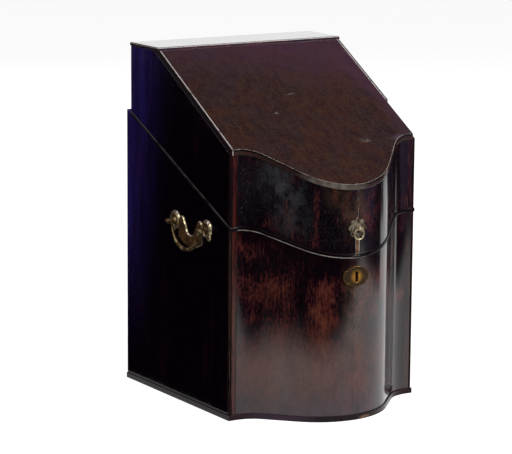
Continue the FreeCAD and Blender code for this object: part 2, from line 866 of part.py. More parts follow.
eye_half = size("eye_thick") / 2
eye_side = size("eye_wide") / 2
hole_half = size("eye_hole") / 2
room = size("eye_room")
slots = []
eyes = []
eye_holes = []
for index, place in enumerate((-size("eye_place"), size("eye_place"))):
    slots.append(local_box("eye_slot%d" % index, place - eye_half - room, place + eye_half + room,
                           -eye_side - room, eye_side + room,
                           -size("eye_deep") - room, size("eye_deep")))
    eyes.append(local_box("eye%d" % index, place - eye_half, place + eye_half, -eye_side, eye_side,
                          -size("eye_deep"), size("lock_plate_thick")))
    eye_holes.append(local_box("eye_hole%d" % index, place - eye_half * 2, place + eye_half * 2,
                               -hole_half, hole_half, -size("eye_hole_drop") - hole_half,
                               -size("eye_hole_drop") + hole_half))


def seam_screws(name, places, across):
    """Countersunk screws whose heads lie flush with the seam plane at the given depth."""
    items = []
    for index, place in enumerate(places):
        head = taper("%s_head%d" % (name, index), size("screw_shank"), size("screw_head"),
                     size("leaf_thick"), (place, across, seam(across)), "Z")
        shank = rod("%s_shank%d" % (name, index), size("screw_shank"), size("screw_long"),
                    (place, across, seam(across)), "Z")
        for item, low in ((head, -size("leaf_thick")), (shank, -size("screw_long"))):
            tilted(item, across - low * EYE_SINE, seam(across) + low * EYE_COSINE)
            item.setExpression("Placement.Base.x", place.text)
        items.append(fuse("%s_%d" % (name, index), [head, shank]))
    return group(name, items)


plate_screw_x = (plate_half + LOCK_HALF) / 2
plate_screw_y = (plate_front_y + LOCK_BACK) / 2
lock_screws = node("lock_plate_screws", seam_screws(
    "lock_plate_screws", (-plate_screw_x, plate_screw_x), plate_screw_y))
node("lock_plate", cut("lock_plate", lock_plate_blank, slots + [lock_screws]))
node("lock_case", cut("lock_case", lock_shell, [lock_cavity, keyhole]))

# Lock bolt: a plate with two fingers that slide through the eyes.

eye_left = size("eye_place") - eye_half
finger_tip = eye_left - size("bolt_tip_gap")
finger_root = finger_tip - size("bolt_throw") - size("bolt_riser") - size("bolt_tip_gap")
finger_half = size("bolt_finger") / 2
eye_pitch = size("eye_place") * 2
bolt_top = EYE_HOLE_Z + finger_half
bolt_neck = seam(EYE_Y) - size("bolt_drop")
bolt_low = KEY_TOP + size("key_room")
far_root = finger_root - eye_pitch
bolt_body = new_body("bolt_comb")
bolt_sketch = new_sketch(bolt_body, "XZ_Plane", -(EYE_HOLE_Y + finger_half))
finger_low = EYE_HOLE_Z - finger_half
talon_left = (far_root + finger_root) / 2
polygon(bolt_sketch, [
    (far_root, bolt_low),
    (talon_left, bolt_low),
    (talon_left, bolt_low + size("talon_high")),
    (talon_left + size("talon_wide"), bolt_low + size("talon_high")),
    (talon_left + size("talon_wide"), bolt_low),
    (finger_root + size("bolt_riser"), bolt_low),
    (finger_root + size("bolt_riser"), finger_low),
    (finger_tip, finger_low),
    (finger_tip, bolt_top),
    (finger_root, bolt_top),
    (finger_root, bolt_neck),
    (far_root + size("bolt_riser"), bolt_neck),
    (far_root + size("bolt_riser"), finger_low),
    (finger_tip - eye_pitch, finger_low),
    (finger_tip - eye_pitch, bolt_top),
    (far_root, bolt_top),
])
pad(bolt_body, bolt_sketch, size("bolt_finger"))
bolt_heel = block("bolt_heel", far_root, talon_left, CAVITY_FRONT + size("bolt_gap"),
                  EYE_HOLE_Y, bolt_low, bolt_neck)
node("lock_bolt", fuse("lock_bolt", [bolt_body, bolt_heel]))

# Escutcheon, bent to the crown of the front.

crown_skin = cut("crown_skin", rod("crown_outside", CROWN + size("escutcheon_thick"),
                                   HIGH_LIMIT, (ZERO, CROWN_CENTRE_Y, ZERO), "Z"),
                 [rod("crown_inside", CROWN, HIGH_LIMIT,
                      (ZERO, CROWN_CENTRE_Y, ZERO), "Z")])
oval_body = new_body("escutcheon_oval")
oval_sketch = new_sketch(oval_body, "XZ_Plane", -CROWN_CENTRE_Y)
oval = oval_sketch.addGeometry(Part.Ellipse(spot(ZERO, KEY_Z), SIZES["escutcheon_wide"] / 2,
                                            SIZES["escutcheon_high"] / 2))
oval_sketch.exposeInternalGeometry(oval)
pin_point(oval_sketch, oval, 3, ZERO, KEY_Z)
bind(oval_sketch, "DistanceX", oval + 1, size("escutcheon_wide"))
bind(oval_sketch, "DistanceY", oval + 2, size("escutcheon_high"))
oval_sketch.addConstraint(Sketcher.Constraint("Horizontal", oval + 1))
pad(oval_body, oval_sketch, CROWN + OVERRUN)
node("escutcheon", cut("escutcheon", common("escutcheon_blank", oval_body, crown_skin), [keyhole]))
node("front_board", cut("front_board", front_body, [
    lock_block, lock_recess, lock_screws, keyhole]))

# Hinges: one leaf let into the rim under the lid, the other into the lid's back.

HINGE_Y = LID_BACK_Y + size("hinge_stand")
HINGE_Z = seam(HINGE_Y) + size("hinge_stand") * SEAM_LEAN
LEAF_DROP = size("leaf_thick") * SEAM_LEAN
LID_SOLE = size("seam_gap")
hinge_half = size("hinge_long") / 2
knuckle_half = size("knuckle_long") / 2
web_half = size("leaf_web") / 2
leaf_tools = []
lid_leaf_tools = []
pin_items = []
body_screw_places = []
lid_screw_items = []
screw_y = LID_BACK_Y - size("leaf_reach") / 2
lid_screw_z = seam(LID_BACK_Y) + size("leaf_screw_high")


def knuckle(name, left, right):
    return rod(name, size("knuckle_radius"), right - left, (left, HINGE_Y, HINGE_Z), "X")


def bore(name, middle, radius):
    return rod(name, radius, size("hinge_long"), (middle - hinge_half, HINGE_Y, HINGE_Z), "X")


hinge_parts = []
for side_name, sign in (("left", -1), ("right", 1)):
    middle = (HALF - size("hinge_inset")) * sign
    pin = bore(side_name + "_hinge_pin", middle, size("hinge_pin_radius"))
    pin_items.append(pin)
    leaf = upright(side_name + "_body_leaf", middle - hinge_half, middle + hinge_half,
                   LID_BACK_Y - size("leaf_reach"), HINGE_Y + web_half)
    trim_above(leaf, seam)
    trim_below(leaf, seam, -LEAF_DROP)
    leaf_tools.append(leaf)
    solids = [leaf]
    ends = ((middle - hinge_half, middle - knuckle_half - size("knuckle_gap")),
            (middle + knuckle_half + size("knuckle_gap"), middle + hinge_half))
    for index, (left, right) in enumerate(ends):
        solids.append(knuckle("%s_knuckle%d" % (side_name, index), left, right))
        solids.append(side_board("%s_web%d" % (side_name, index), [
            (HINGE_Y - web_half, seam(HINGE_Y - web_half, -LEAF_DROP / 2)),
            (HINGE_Y + web_half, seam(HINGE_Y + web_half, -LEAF_DROP / 2)),
            (HINGE_Y + web_half, HINGE_Z),
            (HINGE_Y - web_half, HINGE_Z),
        ], left, right))
    places = [middle - size("screw_spread"), middle, middle + size("screw_spread")]
    body_screw_places += places
    hinge_parts.append((side_name + "_hinge_body_leaf", solids, pin))

    lid_leaf = block(side_name + "_lid_leaf", middle - hinge_half, middle + hinge_half,
                     LID_BACK_Y - size("leaf_thick"), LID_BACK_Y,
                     seam(LID_BACK_Y, LID_SOLE), seam(LID_BACK_Y) + size("leaf_high"))
    lid_leaf_tools.append(lid_leaf)
    lid_knuckle = knuckle(side_name + "_lid_knuckle", middle - knuckle_half, middle + knuckle_half)
    lid_web = block(side_name + "_lid_web", middle - knuckle_half, middle + knuckle_half,
                    LID_BACK_Y - size("leaf_thick") / 2, HINGE_Y,
                    HINGE_Z - web_half, HINGE_Z + web_half)
    hole = bore(side_name + "_lid_bore", middle, size("hinge_pin_radius") + size("pin_clearance"))
    for index, place in enumerate(places):
        tag = "%s_lid_screw%d" % (side_name, index)
        head = taper(tag + "_head", size("screw_head"), size("screw_shank"), size("leaf_thick"),
                     (place, LID_BACK_Y, lid_screw_z), "-Y")
        shank = rod(tag + "_shank", size("screw_shank"), size("screw_long"),
                    (place, LID_BACK_Y, lid_screw_z), "-Y")
        lid_screw_items.append(fuse(tag, [head, shank]))
    hinge_parts.append((side_name + "_hinge_lid_leaf", [lid_leaf, lid_knuckle, lid_web], hole))

body_screws = node("hinge_body_screws", seam_screws(
    "hinge_body_screws", body_screw_places, screw_y))
lid_screws = node("hinge_lid_screws", group("hinge_lid_screws", lid_screw_items))
node("hinge_pins", group("hinge_pins", pin_items))
for label, solids, hole in hinge_parts:
    screws = lid_screws if "lid" in label else body_screws
    node(label, cut(label, fuse(label + "_solid", solids), [hole, screws]))

back_blank = side_board("back_blank", [
    (INNER_BACK_Y, FLOOR_Z),
    (BACK_Y, FLOOR_Z),
    (BACK_Y, seam(BACK_Y)),
    (INNER_BACK_Y, seam(INNER_BACK_Y)),
], -COVE_X, COVE_X)
node("back_board", cut("back_board", back_blank, leaf_tools + [body_screws]))

# Lid.

top_body = node("lid_top", new_body("lid_top"))
top_sketch = new_sketch(top_body, "XY_Plane", TOP_UNDER_Z)
rectangle(top_sketch, -HALF - size("top_lip"), HALF + size("top_lip"),
          TOP_START_Y, LID_BACK_Y + size("top_lip"))
top_pad = pad(top_body, top_sketch, size("top_thick"))
DOC.recompute()
upper = []
for index, edge in enumerate(top_pad.Shape.Edges, start=1):
    if min(vertex.Z for vertex in edge.Vertexes) > LID_TOP_Z.value - SIZES["top_thick"] / 2:
        upper.append("Edge%d" % index)
rounding = top_body.newObject("PartDesign::Fillet", "lid_top_round")
rounding.Base = (top_pad, upper)
rounding.setExpression("Radius", size("top_round").text)

slope_body = plan("lid_slope", size("slope_lip"), string_inner, SLOPE_END_Y, FLOOR_Z, HIGH_LIMIT)
trim(slope_body, [
    (FRONT_LIMIT, slope(FRONT_LIMIT)),
    (TOP_START_Y, TOP_UNDER_Z),
    (BACK_LIMIT, TOP_UNDER_Z),
    (BACK_LIMIT, HIGH_LIMIT * 2),
    (FRONT_LIMIT, HIGH_LIMIT * 2),
])
trim(slope_body, [
    (FRONT_LIMIT, LOW_LIMIT),
    (SLOPE_END_Y, LOW_LIMIT),
    (SLOPE_END_Y, TOP_UNDER_Z),
    (FRONT_LIMIT, slope(FRONT_LIMIT, -SLOPE_DROP)),
])
node("lid_slope", slope_body)


def slope_string(name, sign, start):
    left, right = string_span(sign)
    return node(name, side_board(name, [
        (start, slope(start)),
        (TOP_START_Y, TOP_UNDER_Z),
        (SLOPE_END_Y, TOP_UNDER_Z),
        (start, slope(start, -SLOPE_DROP)),
    ], left, right))


slope_string("slope_left_string", -1, CORNER_Y - size("slope_lip"))
slope_string("slope_right_string", 1, CORNER_Y + size("string_break"))

lid_front_body = band("lid_front_wall", ZERO, front_in, FLOOR_Z, HIGH_LIMIT)
trim_below(lid_front_body, seam, LID_FOOT)
trim_above(lid_front_body, slope, -SLOPE_DROP)

front_bead_body = band("front_bead_wall", size("bead_proud"), front_in, FLOOR_Z, HIGH_LIMIT)
trim_below(front_bead_body, seam, size("seam_gap"))
trim_above(front_bead_body, seam, LID_FOOT)

# A length of the bead is broken away right of the middle.
chip_back = CROWN_Y + size("chip_deep")
bead_chip = new_body("bead_chip")
chip_sketch = new_sketch(bead_chip, "XY_Plane", FLOOR_Z)
polygon(chip_sketch, [
    (-size("chip_left"), FRONT_LIMIT),
    (size("chip_right"), FRONT_LIMIT),
    (size("chip_right"), CROWN_Y),
    (size("chip_right") * CHIP_WAIST, chip_back),
    (-size("chip_left") * CHIP_WAIST, chip_back),
    (-size("chip_left"), CROWN_Y - size("bead_proud")),
])
pad(bead_chip, chip_sketch, HIGH_LIMIT)

for side_name, sign in (("left", -1), ("right", 1)):
    inner, outer = (COVE_X, HALF) if sign > 0 else (-HALF, -COVE_X)
    board = side_board("lid_%s_board" % side_name, [
        (CORNER_Y, seam(CORNER_Y, LID_FOOT)),
        (LID_BACK_Y, seam(LID_BACK_Y, LID_FOOT)),
        (LID_BACK_Y, TOP_UNDER_Z),
        (SLOPE_END_Y, TOP_UNDER_Z),
        (CORNER_Y, slope(CORNER_Y, -SLOPE_DROP)),
    ], inner, outer)
    label = "lid_%s_corner_string" % side_name
    string = node(label, lid_string(label, sign))
    node("lid_%s_side" % side_name, cut("lid_%s_side" % side_name, board, [string]))
    bead_inner, bead_outer = sorted_pair(COVE_X * sign, (HALF + size("bead_proud")) * sign)
    bead_front = CORNER_Y - size("bead_proud")
    node("lid_%s_bead" % side_name, side_board("lid_%s_bead" % side_name, [
        (bead_front, seam(bead_front, size("seam_gap"))),
        (LID_BACK_Y, seam(LID_BACK_Y, size("seam_gap"))),
        (LID_BACK_Y, seam(LID_BACK_Y, LID_FOOT)),
        (bead_front, seam(bead_front, LID_FOOT)),
    ], bead_inner, bead_outer))

lid_back_blank = side_board("lid_back_blank", [
    (INNER_BACK_Y, seam(INNER_BACK_Y, LID_SOLE)),
    (LID_BACK_Y, seam(LID_BACK_Y, LID_SOLE)),
    (LID_BACK_Y, TOP_UNDER_Z),
    (INNER_BACK_Y, TOP_UNDER_Z),
], -COVE_X, COVE_X)
node("lid_back", cut("lid_back", lid_back_blank, lid_leaf_tools + [lid_screws]))

# Link plate on the lid's bead, over the lock plate.

link_recess = upright("link_recess", -plate_half, plate_half, plate_front_y, LOCK_BACK + OVERRUN)
trim_above(link_recess, seam, size("seam_gap") + PLATE_DROP)
link_blank = common("link_blank", front_bead_body, link_recess)
link_solid = fuse("link_solid", [link_blank] + eyes)
link_items = []
for index, place in enumerate((-plate_screw_x, plate_screw_x)):
    head = taper("link_head%d" % index, size("screw_head"), size("screw_shank"),
                 size("leaf_thick"), (ZERO, ZERO, ZERO), "Z")
    shank = rod("link_shank%d" % index, size("screw_shank"), size("screw_long"),
                (ZERO, ZERO, ZERO), "Z")
    for item in (head, shank):
        tilted(item, plate_screw_y, seam(plate_screw_y, size("seam_gap")))
        item.setExpression("Placement.Base.x", place.text)
    link_items.append(fuse("link_screw%d" % index, [head, shank]))
link_screws = node("link_screws", group("link_screws", link_items))
node("link_plate", cut("link_plate", link_solid, eye_holes + [link_screws]))
node("lid_front_bead", cut("lid_front_bead", front_bead_body, [
    link_recess, link_screws, bead_chip]))

# Ring pull on the crown of the lid front.

ring_z = FLOOR_Z + size("ring_height")
plate_front = CROWN_Y - size("ring_plate_thick")
plate_deep = size("ring_plate_thick") * 2
petals = [rod("ring_disc", size("ring_plate_radius"), plate_deep, (ZERO, plate_front, ring_z), "Y")]
PETALS = 8
for index in range(PETALS):
    angle = 2 * math.pi * index / PETALS
    across = size("ring_plate_radius") * math.cos(angle)
    rise = size("ring_plate_radius") * math.sin(angle)
    petals.append(rod("ring_petal%d" % index, size("ring_lobe_radius"), plate_deep,
                      (across, plate_front, ring_z + rise), "Y"))
crown_core = rod("crown_core", CROWN, HIGH_LIMIT, (ZERO, CROWN_CENTRE_Y, ZERO), "Z")
knob_y = plate_front - size("ring_stand")
ring_shank = rod("ring_shank", size("ring_stem_radius"),
                 size("ring_stand") + size("ring_plate_thick") + size("ring_shank"),
                 (ZERO, knob_y, ring_z), "Y")
ring_knob = ball("ring_knob", size("ring_knob_radius"), (ZERO, knob_y, ring_z))
ring_hole = rod("ring_hole", size("ring_wire") + size("ring_room"), size("ring_knob_radius") * 4,
                (-size("ring_knob_radius") * 2, knob_y, ring_z), "X")
node("ring_post", cut("ring_post", fuse("ring_post_solid", [ring_shank, ring_knob]), [ring_hole]))
node("ring_plate", cut("ring_plate", fuse("ring_rosette", petals), [crown_core, ring_shank]))
node("pull_ring", hoop("pull_ring", size("ring_radius"), size("ring_wire"),
                       (ZERO, knob_y, ring_z - size("ring_radius")), "Y"))
node("lid_front", cut("lid_front", lid_front_body, [ring_shank, link_screws]))

DOC.recompute()

# Nothing is written unless every object is sound.
for item in DOC.Objects:
    if "Invalid" in item.State or "Error" in item.State:
        raise RuntimeError("%s does not compute: %s" % (item.Name, item.State))
os.makedirs("parts", exist_ok=True)
for label, item in NODES.items():
    if item.Shape.isNull() or not item.Shape.isValid() or not item.Shape.Solids:
        raise RuntimeError("%s has no sound solid" % label)
for label, item in NODES.items():
    item.Shape.exportStep("parts/%s.step" % label)
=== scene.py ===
"""Finishes and studio stage for the decanter box: polished mahogany, worn stringing, brass and baize."""

import math

import bpy
from mathutils import Matrix, Vector


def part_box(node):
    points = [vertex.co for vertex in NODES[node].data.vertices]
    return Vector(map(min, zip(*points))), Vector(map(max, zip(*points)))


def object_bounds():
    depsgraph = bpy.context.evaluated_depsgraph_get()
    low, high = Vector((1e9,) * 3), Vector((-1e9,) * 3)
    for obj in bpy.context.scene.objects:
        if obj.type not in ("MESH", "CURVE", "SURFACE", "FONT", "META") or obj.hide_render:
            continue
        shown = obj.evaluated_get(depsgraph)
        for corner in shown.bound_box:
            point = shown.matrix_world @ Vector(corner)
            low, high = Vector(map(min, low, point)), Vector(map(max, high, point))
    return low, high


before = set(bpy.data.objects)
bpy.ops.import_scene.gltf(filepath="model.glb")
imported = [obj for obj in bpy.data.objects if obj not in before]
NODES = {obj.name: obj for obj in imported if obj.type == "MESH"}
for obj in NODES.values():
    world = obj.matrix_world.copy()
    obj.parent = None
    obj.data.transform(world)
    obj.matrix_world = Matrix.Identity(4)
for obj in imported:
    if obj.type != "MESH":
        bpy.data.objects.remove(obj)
CAD_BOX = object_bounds()

bl_info = {
    "name": "Decanter box finishes",
    "version": (1, 0, 0),
    "blender": (4, 5, 0),
    "location": "3D View > Sidebar > Decanter box",
    "description": "Gives the solids of a decanter box their finishes and sets a studio stage",
    "category": "Material",
}

MM = 0.001

# Axes of the box: from left to right, from front to back, and upwards.
ACROSS = 0
BACK = 1
UP = 2

# Sockets of the Mix node for colours: the share, both colours and the result.
MIX_SHARE = 0
MIX_FIRST = 6
MIX_SECOND = 7
MIX_RESULT = 2

# Lines of the case that the finishes follow: its front corner, the outer face of a side, and the planes of
# the seam and the slope, each with its height at that corner and its rise towards the back.
CORNER_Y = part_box("left_side")[0][1]
CASE_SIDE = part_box("right_side")[1][0]
SEAM_FRONT = 0.1985
SEAM_RISE = 0.4603
SLOPE_FRONT = 0.2825
SLOPE_RISE = 0.5788

# Open joint of the veneer above the ring, and the bare strip under it with a pale line on each side.
JOINT_ACROSS = 1.5 * MM
STRIP_ACROSS = 1.0 * MM
STRIP_HALF = 1.9 * MM
RIM_AWAY = 2.1 * MM
LINE_HALF = 0.25 * MM

# Patches of the wood that warm (+) or darken (-) its figure: centre and radii in metres, and weight.
FRONT_PATCHES = (
    ((-0.080, -0.085, 0.050), (0.060, 0.07, 0.070), 0.20),
    ((-0.088, -0.090, 0.125), (0.032, 0.10, 0.048), 0.15),
    ((-0.034, -0.126, 0.118), (0.019, 0.10, 0.056), 0.14),
    ((-0.053, -0.112, 0.108), (0.005, 0.10, 0.026), -0.15),
    ((-0.069, -0.095, 0.118), (0.006, 0.10, 0.016), -0.10),
    ((-0.068, -0.098, 0.169), (0.026, 0.10, 0.020), -0.26),
    ((-0.036, -0.124, 0.157), (0.026, 0.10, 0.018), -0.24),
    ((-0.068, -0.097, 0.139), (0.018, 0.10, 0.014), 0.26),
    ((-0.020, -0.120, 0.045), (0.130, 0.10, 0.080), 0.21),
    ((-0.045, -0.118, 0.060), (0.040, 0.10, 0.050), 0.08),
    ((0.100, -0.075, 0.110), (0.030, 0.06, 0.150), -0.10),
)
LID_PATCHES = (
    ((-0.061, -0.103, 0.218), (0.008, 0.10, 0.030), 0.16),
    ((-0.0415, -0.121, 0.215), (0.0058, 0.10, 0.060), 0.40),
    ((-0.033, -0.126, 0.215), (0.0055, 0.10, 0.060), -0.16),
    ((-0.025, -0.130, 0.240), (0.0060, 0.10, 0.024), 0.34),
    ((-0.010, -0.133, 0.225), (0.010, 0.10, 0.045), 0.13),
    ((-0.029, -0.128, 0.220), (0.010, 0.10, 0.016), -0.22),
    ((-0.020, -0.131, 0.200), (0.014, 0.10, 0.014), -0.22),
    ((-0.092, -0.076, 0.215), (0.014, 0.10, 0.030), -0.20),
    ((0.020, -0.131, 0.225), (0.020, 0.10, 0.050), 0.02),
    ((0.100, -0.075, 0.245), (0.030, 0.06, 0.080), -0.08),
)
SLOPE_PATCHES = (
    ((0.060, 0.030, 0.335), (0.070, 0.09, 0.20), 0.06),
    ((0.010, -0.060, 0.300), (0.060, 0.07, 0.20), 0.05),
)

# Spots where a haze lies on the wood: centre, radii and weight.
LID_BLOOM = (
    ((-0.068, -0.097, 0.250), (0.026, 0.08, 0.042), 0.80),
    ((-0.060, -0.105, 0.214), (0.024, 0.08, 0.040), 0.48),
    ((-0.096, -0.075, 0.240), (0.016, 0.08, 0.060), 0.06),
)
# Bloom on the front, partly painted sheen: a lighter streak of the floor's reflection low on the front.
FRONT_BLOOM_AND_SHEEN = (
    ((-0.066, -0.099, 0.040), (0.014, 0.06, 0.070), 0.45),
    ((-0.012, -0.133, 0.030), (0.010, 0.06, 0.050), 0.20),
)
LID_SUNNED = (
    ((-0.002, -0.134, 0.218), (0.022, 0.05, 0.040), 0.65),
    ((-0.022, -0.131, 0.244), (0.020, 0.05, 0.034), 0.30),
)
FRONT_SUNNED = (
    ((0.004, -0.134, 0.160), (0.026, 0.05, 0.050), 0.60),
    ((-0.002, -0.134, 0.110), (0.024, 0.05, 0.055), 0.50),
    ((-0.030, -0.125, 0.060), (0.080, 0.08, 0.050), 0.22),
)
# Violet-grey dust along the foot of the front, partly painted sheen of the floor's reflection.
FRONT_DUST_AND_SHEEN = (
    ((0.0, -0.110, 0.006), (0.160, 0.08, 0.036), 0.80),
)

# Single marks: centre and radii.
SLOPE_SCRATCHES = (
    ((-0.0317, -0.0286, 0.3083), (0.004, 0.004, 0.004)),
    ((0.0041, -0.0036, 0.3228), (0.008, 0.002, 0.004)),
    ((0.0478, -0.0767, 0.2805), (0.009, 0.005, 0.006)),
)
NAIL_HOLE = ((0.0189, -0.1317, 0.2049), (0.0015, 0.004, 0.0015))
LIP_BARE = ((-0.024, -0.131, 0.248), (0.040, 0.05, 0.05))
# The next mark is a painted highlight: a pale violet sheen at the right end of the lip.
LIP_HIGHLIGHT = ((0.099, -0.078, 0.280), (0.022, 0.007, 0.02))
BASE_CHIP = ((0.014, -0.136, 0.002), (0.011, 0.006, 0.0022))
BASE_DARK_BAND = ((0.005, -0.134, 0.0085), (0.050, 0.06, 0.006))
BASE_DUST = ((-0.068, -0.098, 0.004), (0.042, 0.06, 0.03))

# Radii of the golden brass and of the painted shade round the keyhole, which widens its dark opening.
KEYHOLE_GOLD = (0.0090, 0.02, 0.0085)
KEYHOLE_SHADE = (0.0020, 0.02, 0.0056)

# Camera: the picture's width and the focal length in pixels, the sensor's width in millimetres and how far
# it sees in metres.
IMAGE_WIDE = 512
FOCAL_PIXELS = 2524.7
SENSOR_WIDE = 36.0
VIEW_END = 100.0

# Lights: what they aim at, where they stand, how wide they are, the cool one's colour and the room's tint.
LIGHT_AIM = (0.0, 0.0, 0.19)
KEY_PLACE = (0.95, -1.15, 1.35)
SIDE_PLACE = (-1.50, -1.50, 2.20)
RIM_PLACE = (-1.10, 0.60, 1.80)
REAR_PLACE = (0.60, 1.90, 1.50)
BROAD_LIGHT = 0.9
RIM_WIDE = 0.5
RIM_COLOUR = (0.76, 0.74, 1.0)
ROOM_TINT = (1.0, 1.0, 1.1)

# Floor and backdrop: how far the floor reaches, its own grey, the grey that the eye sees, and the colours
# that the backdrop and the floor's glow are mixed from.
FLOOR_REACH = 20.0
FLOOR_GREY = (0.34, 0.34, 0.34)
FLOOR_SEEN = (0.93, 0.93, 0.93)
BLACK = (0.0, 0.0, 0.0)
WHITE = (1.0, 1.0, 1.0)
DIM_CEILING = (0.13, 0.115, 0.15)

# Cards for reflections: their height and reach, where the front one ends, and their colours.
CARD_LIFT = 2 * MM
CARD_REACH = 4.0
CARD_SPLIT = -0.1
DARK_FLOOR = (0.012, 0.009, 0.014)
LEFT_FLOOR = (0.006, 0.004, 0.014)
DUSKY_FLOOR = (0.19, 0.145, 0.26)

# Lines of the dark floor: slant and front of the pool of light before the box, slant of the dark strip on the
# left, and half axes of the ellipse outside which the floor is dark.
POOL_SLANT = 0.55
POOL_FRONT = 0.48
STRIP_SLANT = 1.71
FAR_ACROSS = 1.05
FAR_BACK = 0.62

# Soft edges, each from where it starts to where it ends: of the pool, the dusky floor to its right, the dark
# strip, the far floor, the pale strip behind the box and the ceiling.
POOL_EDGE = (-0.12, 0.12)
POOL_RIGHT = (0.54, 0.74)
DUSK_ACROSS = (0.45, 1.10)
DUSK_AHEAD = (0.40, 0.70)
STRIP_EDGE = (0.24, 0.40)
FAR_EDGE = (0.95, 1.40)
PALE_FRONT = (0.03, 0.16)
PALE_BACK = (0.46, 0.58)
PALE_RIGHT = (1.36, 1.56)
CEILING_EDGE = (0.15, 0.45)


def both_ways(operation):
    """An operator of Signal and its reflected form, each of which adds a Math node."""
    def plain(self, other):
        return self.maths(operation, self, other)

    def reflected(self, other):
        return self.maths(operation, other, self)

    return plain, reflected


class Signal:
    """A shader value that Python's operators can work on."""

    def __init__(self, finish, socket):
        self.finish = finish
        self.socket = socket

    def maths(self, operation, *values):
        """A Math node on the given values."""
        return self.finish.node("ShaderNodeMath", {"operation": operation}, dict(enumerate(values)))

    def output(self, name):
        """Another output of the same node."""
        return Signal(self.finish, self.socket.node.outputs[name])

    def most(self, other):
        """The greater of two values."""
        return self.maths("MAXIMUM", self, other)

    __add__, __radd__ = both_ways("ADD")
    __sub__, __rsub__ = both_ways("SUBTRACT")
    __mul__, __rmul__ = both_ways("MULTIPLY")
    __truediv__, __rtruediv__ = both_ways("DIVIDE")
    __pow__, __rpow__ = both_ways("POWER")

    def __abs__(self):
        return self.maths("ABSOLUTE", self)


